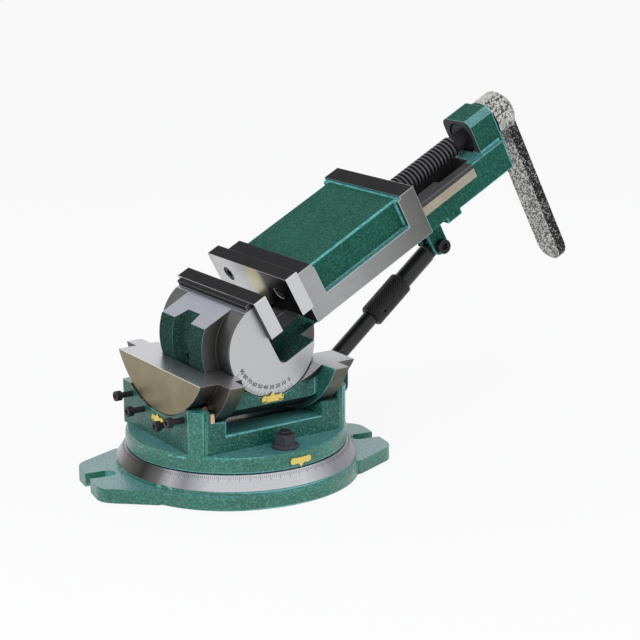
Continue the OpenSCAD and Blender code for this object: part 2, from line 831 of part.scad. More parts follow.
module vise_casting() {
    bar_y(-drum_half_w, drum_half_w, drum_r);
    bar_y(-side_half_w + dial_t, side_half_w, side_r);
    even_block(0, bed_len, bed_half_w, -bed_bottom, bed_top);
    even_block(0, plate_x1, bed_half_w, -bed_bottom, plate_z);
    translate([head_front, 0, 0]) rotate([90, 0, 90]) linear_extrude(head_t)
        round_rect([-head_half_w, -bed_bottom + 8], [head_half_w, head_top], 8);
    even_block(pad_x0, pad_x1, bed_half_w, -bed_bottom - pad_depth, -bed_bottom + 1);
    translate([0, clevis_half_w, 0]) rotate([90, 0, 0]) linear_extrude(2 * clevis_half_w) clevis_outline();
    block([-back_wall_t, -side_half_w + dial_t, pocket_z + pocket_r], [plate_x0, side_half_w, back_wall_top]);
}

// The groove's section: its sides lean out towards the mouth
module groove_section() {
    floor_half_w = groove_half_w - 3.4;
    polygon([[t_slot_inner_r, -floor_half_w], [drum_r, -groove_half_w], [drum_r + 10, -groove_half_w],
             [drum_r + 10, groove_half_w], [drum_r, groove_half_w], [t_slot_inner_r, floor_half_w]]);
}

// The lug under the bed, seen from the side
module clevis_outline() {
    tip_r = 8.5;
    translate([strut_pin_x, -strut_pin_depth]) circle(tip_r);
    polygon([[strut_pin_x - tip_r - 1, -bed_bottom], [strut_pin_x - tip_r, -strut_pin_depth],
             [strut_pin_x + tip_r, -strut_pin_depth], [strut_pin_x + tip_r, -bed_bottom]]);
}

module vise_body() {
    color(green) on_vise() difference() {
        vise_casting();
        for (side = [-1, 1])
            translate([0, side > 0 ? 2 * drum_r : -bed_half_w, 0]) rotate([90, 0, 0])
                linear_extrude(2 * drum_r - bed_half_w) open_corner();
        even_block(plate_x0, plate_x1, bed_half_w + 1, plate_z, drum_r + 1);
        even_block(plate_x1, head_front, bed_half_w + 1, bed_top, drum_r + 1);
        even_block(-drum_r, -back_wall_t, drum_r + 10, ledge_z, drum_r + 1);
        even_block(-back_wall_t - 1, plate_x0 + 1, drum_r + 10, back_wall_top, drum_r + 1);
        sector_y(groove_from, hold_slot_to)
            groove_section();
        sector_y(hold_slot_from, hold_slot_to) {
            translate([hold_floor_r - 1, -hold_d / 2 - 0.5]) square([8, hold_d + 1]);
            translate([hold_floor_r - 7, -hold_head_d / 2 - 1]) square([7, hold_head_d + 2]);
        }
        rotate([0, -hold_slot_from - 8, 0]) bar_x(hold_floor_r - 7, t_slot_inner_r + 1, hold_head_d / 2 + 1);
        translate([0, 0, screw_z]) {
            bar_x(head_front - 1, head_front + recess_t, recess_r);
            bar_x(head_front, head_back + 1, journal_d / 2 + bush_wall + seat_gap);
        }
        even_block(bed_slot_x0, bed_slot_x1, bed_slot_half_w, bed_room_floor, bed_top + 1);
        even_block(bed_slot_x0, bed_slot_x1, bed_room_half_w, bed_room_floor, bed_top - bed_lip);
        even_block(bed_entry_x, bed_slot_x1, bed_room_half_w, bed_room_floor, bed_top + 1);
        at_plate_screws() bar_x(plate_x0 - plate_screw_grip - 2, plate_x0 + 1, plate_screw_d / 2 + seat_gap);
        even_block(strut_pin_x - 4 * eye_r, strut_pin_x + 4 * eye_r, tongue_half_w + swing_gap,
                   -strut_pin_depth - 2 * eye_r, -strut_pin_depth + eye_r + 4);
        translate([strut_pin_x, 0, -strut_pin_depth])
            bar_y(-clevis_half_w - 1, clevis_half_w + 1, strut_bolt_d / 2 + run_gap);
    }
}

// The graduated face of the near side disc, cut away like the disc
module elevation_dial() {
    dial_r = side_r - 0.4;
    color(bright) on_vise() translate([0, -side_half_w + dial_t, 0]) rotate([90, 0, 0])
        linear_extrude(dial_t) difference() {
            circle(dial_r);
            open_corner();
            translate([-dial_r, ledge_z]) square([2 * dial_r, dial_r]);
        }
}

module jaw_plate(x0) {
    chamfer = 0.8;
    difference() {
        translate([x0, 0, plate_z]) rotate([90, 0, 90]) linear_extrude(plate_t)
            translate([-jaw_w / 2, 0]) chamfered_rect(jaw_w, plate_h, chamfer);
        children();
    }
}

module chamfered_rect(w, h, c) {
    polygon([[c, 0], [w - c, 0], [w, c], [w, h - c], [w - c, h], [c, h], [0, h - c], [0, c]]);
}

// The holes and heads of the plate screws share these places
module at_plate_screws() {
    for (side = [-1, 1])
        translate([0, side * plate_screw_y, plate_screw_z]) children();
}

// One bore and its counterbore, with the head's seat on the open side of the plate
module plate_hole(x0, face, dir) {
    seat = face - dir * (plate_head_l + 0.5);
    bar_x(x0 - 1, x0 + plate_t + 1, plate_screw_d / 2 + 0.3);
    bar_x(min(face + dir, seat), max(face + dir, seat), plate_head_d / 2 + 0.3);
}

module fixed_jaw_plate() {
    color(machined) on_vise() jaw_plate(plate_x0) at_plate_screws() plate_hole(plate_x0, plate_x1, 1);
}

module fixed_plate_screws() {
    seat = plate_x1 - plate_head_l - 0.5;
    color(black) on_vise() at_plate_screws() translate([seat, 0, 0])
        rotate([0, 180, 0])
            cap_screw_x(plate_screw_d, seat - plate_x0 + plate_screw_grip, plate_head_d, plate_head_l);
}

module head_bush() {
    color(bronze) on_screw() difference() {
        translate([0, 0, head_front + recess_t])
            cylinder(h = head_t - recess_t, d = journal_d + 2 * bush_wall);
        translate([0, 0, head_front]) cylinder(h = head_t + 1, d = journal_d + 2 * run_gap);
    }
}

module strut_pivot_bolt() {
    head_l = 6;
    color(black) on_vise() translate([strut_pin_x, -clevis_half_w, -strut_pin_depth])
        rotate([0, 0, 90])
            cap_screw_x(strut_bolt_d, 2 * clevis_half_w + strut_nut_t + 1.5, 1.625 * strut_bolt_d, head_l);
}

module strut_pivot_nut() {
    color(black) on_vise() translate([strut_pin_x, clevis_half_w, -strut_pin_depth])
        rotate([-90, 0, 0]) difference() {
            cylinder(h = strut_nut_t, d = 1.625 * strut_bolt_d / cos(30), $fn = 6);
            translate([0, 0, -1]) cylinder(h = strut_nut_t + 2, d = strut_bolt_d + 2 * seat_gap);
        }
}

// Movable jaw

module movable_jaw() {
    front = mplate_x1;
    tunnel_r = screw_d / 2 + 1.5;
    color(green) on_vise() difference() {
        union() {
            even_block(front, jaw_back, jaw_top_half_w, strip_top - 1, jaw_top);
            even_block(front, front + front_leg, jaw_half_w, -jaw_skirt, jaw_top);
            even_block(front, front + front_leg - 1.5, jaw_half_w, jaw_top - 1, jaw_land);
            even_block(jaw_back - rear_leg, jaw_back, jaw_half_w, -jaw_skirt, jaw_top);
            even_block(jaw_back - rear_leg + 3, jaw_back, jaw_half_w, jaw_top - 1, jaw_rear_top);
            even_block(front, jaw_back, jaw_half_w, -jaw_skirt, strip_top);
        }
        even_block(front - 1, jaw_back + 1, bed_half_w + slide_gap, -jaw_skirt - 1, bed_top + slide_gap);
        translate([0, 0, screw_z]) bar_x(front + 0.7, jaw_back + 1, tunnel_r);
        even_block(nut_x0 - 0.1, nut_x1 + 0.1, nut_half_w + 0.2, bed_top, nut_top + 0.2);
        for (side = [-1, 1])
            block([front + front_leg + 12, min(side * pocket_y0, side * pocket_y1), bed_top],
                  [nut_x0 - 8, max(side * pocket_y0, side * pocket_y1), pocket_top]);
        at_plate_screws() bar_x(front - 1, front + plate_screw_grip + 2, plate_screw_d / 2 + seat_gap);
    }
}

module movable_jaw_plate() {
    color(machined) on_vise() jaw_plate(mplate_x0) at_plate_screws() plate_hole(mplate_x0, mplate_x0, -1);
}

module movable_plate_screws() {
    seat = mplate_x0 + plate_head_l + 0.5;
    color(black) on_vise() at_plate_screws() translate([seat, 0, 0])
        cap_screw_x(plate_screw_d, mplate_x1 - seat + plate_screw_grip, plate_head_d, plate_head_l);
}

// The nut hangs in the jaw, and its stem reaches through the bed's slot to the keeper plate
module jaw_nut() {
    color(bronze) on_vise() difference() {
        union() {
            even_block(nut_x0, nut_x1, nut_half_w, bed_top + slide_gap, nut_top);
            even_block(nut_x0, nut_x1, bed_slot_half_w - slide_gap, keeper_top, bed_top + 1);
        }
        translate([0, 0, screw_z]) bar_x(nut_x0 - 1, nut_x1 + 1, screw_d / 2 + run_gap);
        for (x = [nut_x0 + keeper_screw_in, nut_x1 - keeper_screw_in])
            translate([x, 0, keeper_top - 1]) cylinder(h = keeper_t + 2, d = keeper_screw_d + 2 * seat_gap);
    }
}

module keeper_plate() {
    color(machined) on_vise() difference() {
        even_block(nut_x0, nut_x1, keeper_half_w, keeper_top - keeper_t, keeper_top);
        for (x = [nut_x0 + keeper_screw_in, nut_x1 - keeper_screw_in]) {
            translate([x, 0, keeper_top - keeper_t - 1]) {
                cylinder(h = keeper_t + 2, d = keeper_screw_d + 0.6);
                cylinder(h = keeper_head_l + 1.5, d = keeper_head_d + 0.5);
            }
        }
    }
}

module keeper_screws() {
    color(black) on_vise() for (x = [nut_x0 + keeper_screw_in, nut_x1 - keeper_screw_in])
        translate([x, 0, keeper_top - keeper_t + keeper_head_l + 0.5]) rotate([0, -90, 0])
            cap_screw_x(keeper_screw_d, keeper_t + 3, keeper_head_d, keeper_head_l);
}

// Lead screw and crank

module lead_screw() {
    chamfer = 1.5;
    collar_x = head_front + recess_t - collar_t;
    color(black) on_screw() difference() {
        rotate_extrude()
            polygon([[0, thread_x0], [screw_d / 2 - chamfer, thread_x0], [screw_d / 2, thread_x0 + chamfer],
                     [screw_d / 2, thread_x1 - chamfer], [screw_d / 2 - chamfer, thread_x1],
                     [journal_d / 2, thread_x1], [journal_d / 2, collar_x], [collar_r, collar_x],
                     [collar_r, collar_x + collar_t], [journal_d / 2, collar_x + collar_t],
                     [journal_d / 2, head_back + 1], [stub_d / 2, head_back + 1], [stub_d / 2, hub_x1 - 6],
                     [0, hub_x1 - 6]]);
        crank_pin_bore();
    }
}

// The cross bore through hub and stub that the pin sits in
module crank_pin_bore() {
    translate([0, 0, hub_x0 + crank_pin_x]) rotate([90, 0, 0])
        cylinder(h = 3 * hub_r, d = crank_pin_d + 2 * seat_gap, center = true);
}

module crank_handle() {
    dome_r = 24;
    color(machined) difference() {
        on_screw() union() {
            intersection() {
                translate([0, 0, hub_x0]) cylinder(h = hub_len, r = hub_r);
                translate([0, 0, hub_x1 - dome_r]) sphere(dome_r);
            }
            translate([0, 0, crank_x0]) linear_extrude(crank_t) {
                translate([0, -crank_w / 2]) square([crank_reach - crank_w / 2, crank_w]);
                translate([crank_reach - crank_w / 2, 0]) circle(crank_w / 2);
            }
        }
        on_screw() translate([0, 0, hub_x0 - 1]) cylinder(h = hub_len - 4.9, d = stub_d + 2 * seat_gap);
        on_screw() crank_pin_bore();
    }
}

module crank_pin() {
    color(machined) on_screw() translate([0, 0, hub_x0 + crank_pin_x]) rotate([90, 0, 0])
        cylinder(h = 2 * hub_r - 1, d = crank_pin_d, center = true);
}

// Strut: the frame of these modules has X from the pivot on the bed towards the foot

module strut_upper_tube() {
    color(black) on_strut() difference() {
        union() {
            bar_y(-tongue_half_w, tongue_half_w, eye_r);
            even_block(0, tube_x0 + 6, tongue_half_w, -6, 6);
            bar_x(tube_x0, tube_x1, tube_d / 2);
        }
        bar_y(-tongue_half_w - 1, tongue_half_w + 1, strut_bolt_d / 2 + run_gap);
        bar_x(rod_bore_x0, tube_x1 + 1, rod_d / 2 + 0.06);
    }
}

module strut_sleeve() {
    chamfer = 1.6;
    color(black) on_strut() difference() {
        rotate([0, 90, 0]) rotate_extrude()
            polygon([[0, sleeve_start], [sleeve_d / 2 - chamfer, sleeve_start],
                     [sleeve_d / 2, sleeve_start + chamfer], [sleeve_d / 2, sleeve_end - chamfer],
                     [sleeve_d / 2 - chamfer, sleeve_end], [0, sleeve_end]]);
        bar_x(sleeve_start - 1, tube_x1 + 0.2, tube_d / 2 + seat_gap);
        bar_x(sleeve_start, sleeve_end + 1, rod_d / 2 + 0.06);
        translate([lock_screw_x, 0, 0]) bar_y(-sleeve_d, 0, lock_screw_r + seat_gap);
    }
}

module strut_lock_screw() {
    color(black) on_strut() translate([lock_screw_x, 0, 0]) difference() {
        bar_y(-sleeve_d / 2 + 0.2, -rod_d / 2 - 0.1, lock_screw_r);
        translate([0, -sleeve_d / 2 + 0.1, 0]) rotate([-90, 0, 0]) cylinder(h = 2, r = 1.7, $fn = 6);
    }
}

module strut_lower_rod() {
    color(black) on_strut() {
        bar_x(rod_x0, strut_len, rod_d / 2);
        translate([strut_len, 0, 0]) sphere(foot_r);
    }
}

base_casting();
graduated_ring();
pivot_pin();
swivel_body();
swivel_bolts();
swivel_nuts();
swivel_pointer();
tilt_pointer();
tilt_pointer_rivets();
tilt_clamp_screws();
tilt_gib();
cradle();
elevation_pointer();
elevation_pointer_rivets();
hold_down_bolt();
hold_down_nut();
strut_bracket();
strut_bracket_screws();
vise_body();
elevation_dial();
fixed_jaw_plate();
fixed_plate_screws();
head_bush();
strut_pivot_bolt();
strut_pivot_nut();
movable_jaw();
movable_jaw_plate();
movable_plate_screws();
jaw_nut();
keeper_plate();
keeper_screws();
lead_screw();
crank_handle();
crank_pin();
strut_upper_tube();
strut_sleeve();
strut_lock_screw();
strut_lower_rod();
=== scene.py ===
import json
import math

import bmesh
import bpy
import numpy
from mathutils import Matrix, Vector
from mathutils.bvhtree import BVHTree

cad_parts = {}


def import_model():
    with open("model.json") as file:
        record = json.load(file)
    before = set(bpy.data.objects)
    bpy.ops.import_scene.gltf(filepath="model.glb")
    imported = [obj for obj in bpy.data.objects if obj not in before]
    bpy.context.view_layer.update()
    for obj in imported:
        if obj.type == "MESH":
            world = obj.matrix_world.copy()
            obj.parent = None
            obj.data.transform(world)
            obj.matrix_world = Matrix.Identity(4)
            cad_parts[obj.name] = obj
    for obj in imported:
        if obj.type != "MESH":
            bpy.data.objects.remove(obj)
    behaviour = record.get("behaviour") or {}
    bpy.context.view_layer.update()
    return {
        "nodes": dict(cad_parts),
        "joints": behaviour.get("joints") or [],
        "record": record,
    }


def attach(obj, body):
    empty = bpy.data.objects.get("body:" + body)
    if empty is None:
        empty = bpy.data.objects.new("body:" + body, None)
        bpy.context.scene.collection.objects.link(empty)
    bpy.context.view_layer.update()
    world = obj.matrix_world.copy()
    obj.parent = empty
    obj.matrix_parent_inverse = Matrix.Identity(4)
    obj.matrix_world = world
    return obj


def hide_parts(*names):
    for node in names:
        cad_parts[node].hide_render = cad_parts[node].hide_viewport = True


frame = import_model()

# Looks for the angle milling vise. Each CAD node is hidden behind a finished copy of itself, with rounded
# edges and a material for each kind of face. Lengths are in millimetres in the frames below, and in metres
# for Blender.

NODES = frame["nodes"]
JOINTS = {j["name"]: j for j in frame["joints"]}
BODY_OF = {n: b for b, names in frame["record"]["behaviour"]["bodies"].items() for n in names}
MM = 0.001

# Frames at rest. X runs along the bed or the strut, and in the screw's own frame Z runs along the screw.

LIFT = Vector(JOINTS["elevation"]["axis"])
BED = Vector(JOINTS["jaw_slide"]["axis"])
SWIVEL_REST = math.atan2(LIFT.x, -LIFT.y)
ELEVATION_REST = math.asin(BED.z)
TILT_AXIS_Z = JOINTS["tilt"]["pos_m"][2] / MM
DRUM_AXIS = Vector(JOINTS["elevation"]["pos_m"])
STRUT_PIN = Vector(JOINTS["strut_pivot"]["pos_m"])
STRUT_WAY = Vector(JOINTS["strut_slide"]["axis"])
STRUT_ANGLE = math.atan2(-STRUT_WAY.z, math.hypot(STRUT_WAY.x, STRUT_WAY.y))


def raised(height):
    return Matrix.Translation(Vector((0, 0, height)) * MM)


def about_y(angle):
    return Matrix.Rotation(angle, 4, "Y")


ON_BASE = Matrix.Identity(4)
ON_SWIVEL = Matrix.Rotation(SWIVEL_REST, 4, "Z")
ON_CRADLE = ON_SWIVEL @ raised(TILT_AXIS_Z)
ON_VISE = Matrix.Translation(DRUM_AXIS) @ ON_SWIVEL @ about_y(-ELEVATION_REST)
SCREW_Z = (ON_VISE.inverted() @ Vector(JOINTS["crank"]["pos_m"])).z / MM
ON_SCREW = ON_VISE @ raised(SCREW_Z) @ about_y(math.radians(90))
ON_STRUT = Matrix.Translation(STRUT_PIN) @ ON_SWIVEL @ about_y(math.pi - STRUT_ANGLE)


def local_box(node, place):
    """Lowest and highest corner of a CAD node in a frame, in millimetres."""
    inverse = place.inverted()
    points = [inverse @ v.co / MM for v in NODES[node].data.vertices]
    return (Vector(min(p[i] for p in points) for i in range(3)),
            Vector(max(p[i] for p in points) for i in range(3)))


# Node materials

MATERIALS = {}


class Shader:
    """One node material. Positions are object coordinates, in metres in the piece's own frame."""

    def __init__(self, name):
        self.material = bpy.data.materials.new(name)
        self.material.use_nodes = True
        self.tree = self.material.node_tree
        self.surface = self.tree.nodes["Principled BSDF"]
        self.position = self.add("TexCoord").outputs["Object"]
        MATERIALS[name] = self.material

    def put(self, socket, value):
        if isinstance(value, bpy.types.NodeSocket):
            self.tree.links.new(value, socket)
        else:
            socket.default_value = value

    def add(self, kind, inputs=None, **settings):
        made = self.tree.nodes.new("ShaderNode" + kind)
        for key, value in settings.items():
            setattr(made, key, value)
        for key, value in (inputs or {}).items():
            self.put(made.inputs[key], value)
        return made

    def set(self, **inputs):
        for key, value in inputs.items():
            self.put(self.surface.inputs[key.replace("_", " ")], value)

    def parts(self):
        """The position's X, Y and Z."""
        return self.add("SeparateXYZ", {"Vector": self.position}).outputs

    def stretched(self, sx, sy, sz):
        """The position with each axis scaled, so that a grain runs along the small one."""
        return self.add("Mapping", {"Vector": self.position, "Scale": (sx, sy, sz)}).outputs["Vector"]

    def noise(self, size_mm, detail=3.0, roughness=0.55, position=None):
        return self.add("TexNoise", {"Vector": position or self.position, "Scale": 1 / (size_mm * MM),
                                     "Detail": detail, "Roughness": roughness}).outputs["Fac"]

    def cells(self, size_mm, smooth):
        """Distance to the nearest of scattered points: round cells of about the given size."""
        return self.add("TexVoronoi", {"Vector": self.position, "Scale": 1 / (size_mm * MM),
                                       "Smoothness": smooth}, feature="SMOOTH_F1").outputs["Distance"]

    def ramp(self, value, *stops):
        """A smooth blend through (place, grey or colour) stops."""
        made = self.add("ValToRGB", {"Fac": value})
        elements = made.color_ramp.elements
        for i, (place, colour) in enumerate(stops):
            e = elements[i] if i < 2 else elements.new(place)
            e.position = place
            e.color = (*colour, 1) if hasattr(colour, "__len__") else (colour, colour, colour, 1)
        return made.outputs["Color"]

    def mix(self, factor, a, b):
        made = self.add("Mix", data_type="RGBA")
        colour = [s for s in made.inputs if s.type == "RGBA"]
        self.put(made.inputs["Factor"], factor)
        for socket, value in zip(colour, (a, b)):
            self.put(socket, (*value, 1) if isinstance(value, tuple) and len(value) == 3 else value)
        return [s for s in made.outputs if s.type == "RGBA"][0]

    def math(self, kind, a, b=0.5, clamp=False):
        made = self.add("Math", operation=kind, use_clamp=clamp)
        for socket, value in zip(made.inputs, (a, b)):
            self.put(socket, value)
        return made.outputs[0]

    def bump(self, height, depth_mm, strength=1.0, below=None):
        inputs = {"Height": height, "Distance": depth_mm * MM, "Strength": strength}
        if below:
            inputs["Normal"] = below
        return self.add("Bump", inputs).outputs["Normal"]

    def edge(self):
        """1 on the convex edges of a dressed piece, 0 away from them."""
        return self.add("Attribute", attribute_name="edge").outputs["Fac"]


STEEL = (0.62, 0.62, 0.65)
BLACK = (0.020, 0.020, 0.022)
BROWN_BLACK = (0.034, 0.032, 0.031)
# Light green that the enamel's convex edges go over to: wear, and a painted highlight.
EDGE_WEAR_AND_HIGHLIGHT_GREEN = (0.15, 0.47, 0.47)


def toned(colour, share):
    return tuple(c * share for c in colour)


def green_enamel(name, dark, light, crest, specular, coat, edge=EDGE_WEAR_AND_HIGHLIGHT_GREEN):
    """Hammer-finish enamel on an uneven casting, over the paint's own slow mottle: the dimples are painted
    darker as shade in the hollows, and the crests between them lighter as a painted highlight.
    """
    s = Shader(name)
    dimples = s.cells(1.9, 0.35)
    grit = s.noise(0.8, 2.0)
    drift = s.noise(45.0, 2.0)
    base = s.mix(s.ramp(drift, (0.38, 0.0), (0.62, 1.0)), dark, light)
    dimple_shade = s.mix(s.ramp(dimples, (0.10, 0.0), (0.45, 1.0)), toned(dark, 0.62), base)
    high = s.ramp(dimples, (0.50, 0.0), (0.72, 1.0))
    speckle = s.math("MULTIPLY", high, s.ramp(grit, (0.40, 0.0), (0.62, 0.8)))
    crest_highlighted = s.mix(speckle, dimple_shade, crest)
    chance = s.ramp(s.noise(5.0), (0.3, 0.35), (0.6, 0.95))
    # Here and there the convex edges go over to the edge colour: wear, and a painted highlight.
    wear_and_glint = s.mix(s.math("MULTIPLY", s.edge(), chance), crest_highlighted, edge)
    s.set(Base_Color=wear_and_glint, Roughness=s.ramp(grit, (0.3, 0.26), (0.75, 0.42)), Specular_IOR_Level=specular,
          Coat_Weight=coat, Coat_Roughness=0.16)
    rough = s.bump(s.noise(16.0, 2.0), 0.25, 0.5)
    s.set(Normal=s.bump(s.ramp(dimples, (0.05, 0.0), (0.75, 1.0)), 0.30, 0.7, rough))


def metal(name, colour, roughness, grain, depth=0.02, stain=None, spots=0.0, edge_gain=1.25, metallic=1.0,
          specular=0.5, fades=()):
    """Machined metal. grain gives the position stretched along the tool marks, depth their height.

    stain is (share, colour), and spots a share of small dark spots. Each fade is (axis, from, to, colour):
    along that axis, in millimetres, the surface goes over to that colour.
    """
    s = Shader(name)
    marks = s.noise(1.0, 4.0, 0.6, grain(s))
    broad = s.noise(22.0, 3.0)
    base = s.mix(s.ramp(marks, (0.3, 0.0), (0.7, 1.0)), toned(colour, 0.80), colour)
    if stain:
        base = s.mix(s.math("MULTIPLY", s.ramp(broad, (0.38, 0.0), (0.66, 1.0)), stain[0]), base, stain[1])
    if spots:
        share = s.math("MULTIPLY", s.ramp(s.noise(1.6, 2.0), (0.62, 0.0), (0.72, 1.0)), spots)
        base = s.mix(share, base, toned(colour, 0.3))
    for axis, start, end, goal in fades:
        past = s.math("SUBTRACT", s.parts()[axis], start * MM)
        base = s.mix(s.math("DIVIDE", past, (end - start) * MM, clamp=True), base, goal)
    # Convex edges go lighter by edge_gain: wear, and a painted highlight.
    bright = tuple(min(1.0, c * edge_gain) for c in colour)
    base = s.mix(s.math("MULTIPLY", s.edge(), 0.6), base, bright)
    blend = s.math("ADD", s.math("MULTIPLY", marks, 0.6), s.math("MULTIPLY", broad, 0.4))
    s.set(Base_Color=base, Metallic=metallic, Specular_IOR_Level=specular,
          Roughness=s.ramp(blend, (0.3, roughness * 0.8), (0.7, roughness * 1.25)),
          Normal=s.bump(marks, depth, 0.5))


def blacked(name, grain, colour=BLACK, roughness=0.38, edge_gain=5.0, specular=0.16):
    """Black oxide: a dull dark skin on steel that wears bright on its edges; the lighter edges are also a
    painted highlight.
    """
    metal(name, colour, roughness, grain, 0.015, (0.4, BROWN_BLACK), 0.0, edge_gain, 0.0, specular)


def along_x(s):
    return s.stretched(0.05, 2.2, 2.2)


def along_y(s):
    return s.stretched(2.2, 0.05, 2.2)


def turned(axis):
    """Rings about the piece's own X, Y or Z axis: the position becomes (radius, place along the axis)."""
    def grain(s):
        parts = s.parts()
        main = "XYZ".index(axis)
        squares = [s.math("POWER", parts[i], 2.0) for i in range(3) if i != main]
        radius = s.math("POWER", s.math("ADD", *squares), 0.5)
        rings = {"X": s.math("MULTIPLY", radius, 3.0), "Y": s.math("MULTIPLY", parts[main], 3.0)}
        return s.add("CombineXYZ", rings).outputs["Vector"]
    return grain


def knurled(name, colour, roughness):
    """Black steel with fine crossed grooves round its own X axis."""
    grooves_round = 34
    groove_rise = math.tau / (2.5 * MM)
    s = Shader(name)
    parts = s.parts()
    angle = s.math("MULTIPLY", s.math("ARCTAN2", parts[1], parts[2]), grooves_round)
    along = s.math("MULTIPLY", parts[0], groove_rise)
    right = s.math("SINE", s.math("ADD", angle, along))
    left = s.math("SINE", s.math("SUBTRACT", angle, along))
    height = s.math("MINIMUM", right, left)
    # The knurl's crests are painted lighter as a highlight and its grooves darker as shade.
    base = s.mix(s.ramp(height, (0.2, 0.0), (0.9, 1.0)), toned(colour, 0.7), toned(colour, 2.2))
    s.set(Base_Color=base, Metallic=1.0, Normal=s.bump(height, 0.25, 0.8),
          Roughness=s.ramp(s.noise(3.0), (0.3, roughness * 0.8), (0.7, roughness * 1.2)))


def crank_steel(name, bright, dark, share):
    """Cast steel tumbled bright: pebbled, with black scale in its hollows, more of it as share grows."""
    s = Shader(name)
    pebbles = s.cells(1.9, 0.5)
    fine = s.noise(0.8, 3.0)
    broad = s.noise(9.0, 2.0)
    speck = s.math("ADD", s.math("MULTIPLY", pebbles, 0.55), s.math("MULTIPLY", fine, 0.55))
    speck = s.math("ADD", speck, s.math("MULTIPLY", broad, 0.25))
    colour = s.ramp(speck, (0.56 - share, bright), (0.66 - share, toned(bright, 0.3)),
                    (0.70 - share, dark))
    wear_and_glint = s.mix(s.math("MULTIPLY", s.edge(), 0.5), colour, bright)
    s.set(Base_Color=wear_and_glint, Metallic=0.9, Roughness=s.ramp(fine, (0.3, 0.30), (0.7, 0.52)),
          Normal=s.bump(pebbles, 0.35, 0.8, s.bump(fine, 0.12, 0.5)))


def ring_steel(name):
    """Turned steel whose tone changes slowly round the ring: the grey, brown and near black sectors are
    painted reflections.
    """
    steel = (0.64, 0.645, 0.68)
    wear_and_glint = (0.78, 0.78, 0.80)
    grey_reflection = (0.28, 0.28, 0.31)
    brown_reflection = (0.13, 0.12, 0.11)
    dark_reflection = (0.032, 0.032, 0.034)
    hazy_reflection = (0.16, 0.15, 0.15)
    pale_reflection = (0.50, 0.50, 0.53)
    s = Shader(name)
    marks = s.noise(1.0, 4.0, 0.6, turned("Z")(s))
    parts = s.parts()
    angle = s.math("DIVIDE", s.math("ARCTAN2", parts[1], parts[0]), math.tau)
    share = s.math("FRACT", s.math("ADD", angle, 1.0))
    # Tone by the share of a turn: plain steel, with sectors of painted reflection.
    tone = s.ramp(share, (0.0, grey_reflection), (0.10, steel), (0.40, steel), (0.475, grey_reflection), (0.50, brown_reflection),
                  (0.55, dark_reflection), (0.58, hazy_reflection), (0.60, pale_reflection), (0.62, grey_reflection), (0.655, steel),
                  (0.785, steel), (0.84, grey_reflection), (1.0, grey_reflection))
    streak = s.mix(s.ramp(marks, (0.3, 0.0), (0.7, 1.0)), s.mix(0.22, tone, (0.0, 0.0, 0.0)), tone)
    s.set(Base_Color=s.mix(s.math("MULTIPLY", s.edge(), 0.5), streak, wear_and_glint), Metallic=1.0,
          Roughness=s.ramp(marks, (0.3, 0.28), (0.7, 0.40)), Normal=s.bump(marks, 0.01, 0.5))


def ink(name):
    """Black paint in engraved marks."""
    s = Shader(name)
    patchy = s.ramp(s.noise(0.6, 2.0), (0.4, 0.0), (0.7, 1.0))
    s.set(Base_Color=s.mix(patchy, (0.012, 0.012, 0.013), (0.05, 0.05, 0.05)), Roughness=0.6)


# The jaw's side goes darker towards its rear, from 70 to 190 mm: painted shade.
JAW_SIDE_SHADE = [(0, 70, 190, (0.12, 0.12, 0.112))]
# Across a jaw plate's face, towards -Y, the face goes over to gold and then to near black.
PLATE_FACE_FADES = [(1, 8, -4, (0.62, 0.58, 0.36)), (1, -14, -24, (0.030, 0.030, 0.030))]

# Copies of one hammer-finish enamel, made lighter or darker for light and shade. The plain one is the paint.
# The lit copy is a painted highlight on faces turned up and on glancing ledges. The copies for the walls,
# for the upper castings and the shaded one are painted shade: darker, and with less reflection.
green_enamel("green_enamel", (0.019, 0.142, 0.100), (0.025, 0.175, 0.124), (0.090, 0.330, 0.250),
             specular=0.45, coat=0.3)
green_enamel("green_enamel_lit", (0.060, 0.210, 0.205), (0.075, 0.250, 0.250), (0.150, 0.400, 0.400),
             specular=0.5, coat=0.5)
green_enamel("green_enamel_walls_in_shade", (0.012, 0.092, 0.070), (0.016, 0.112, 0.088), (0.070, 0.270, 0.220),
             specular=0.30, coat=0.1)
green_enamel("green_enamel_upper_in_shade", (0.017, 0.088, 0.064), (0.021, 0.106, 0.078), (0.050, 0.180, 0.140),
             specular=0.012, coat=0.0)
green_enamel("green_enamel_shaded", (0.017, 0.050, 0.040), (0.024, 0.066, 0.053), (0.050, 0.120, 0.096),
             specular=0.012, coat=0.0, edge=(0.09, 0.20, 0.17))
metal("bare_along_x", STEEL, 0.33, along_x)
metal("bare_along_y", STEEL, 0.33, along_y)
metal("bare_ledge", (0.42, 0.43, 0.49), 0.36, along_y)
metal("jaw_side", (0.42, 0.43, 0.44), 0.42, along_x, depth=0.03, stain=(0.3, (0.34, 0.33, 0.31)), spots=0.2,
      edge_gain=1.5, fades=JAW_SIDE_SHADE)
metal("bed_way", (0.46, 0.42, 0.34), 0.40, along_x, stain=(0.5, (0.32, 0.28, 0.20)))
metal("end_plate_face", (0.33, 0.29, 0.185), 0.45, along_y, depth=0.03, stain=(0.5, (0.25, 0.20, 0.12)),
      spots=0.5)
metal("rim_turned_x", (0.22, 0.205, 0.165), 0.42, turned("X"), stain=(0.7, (0.07, 0.065, 0.06)))
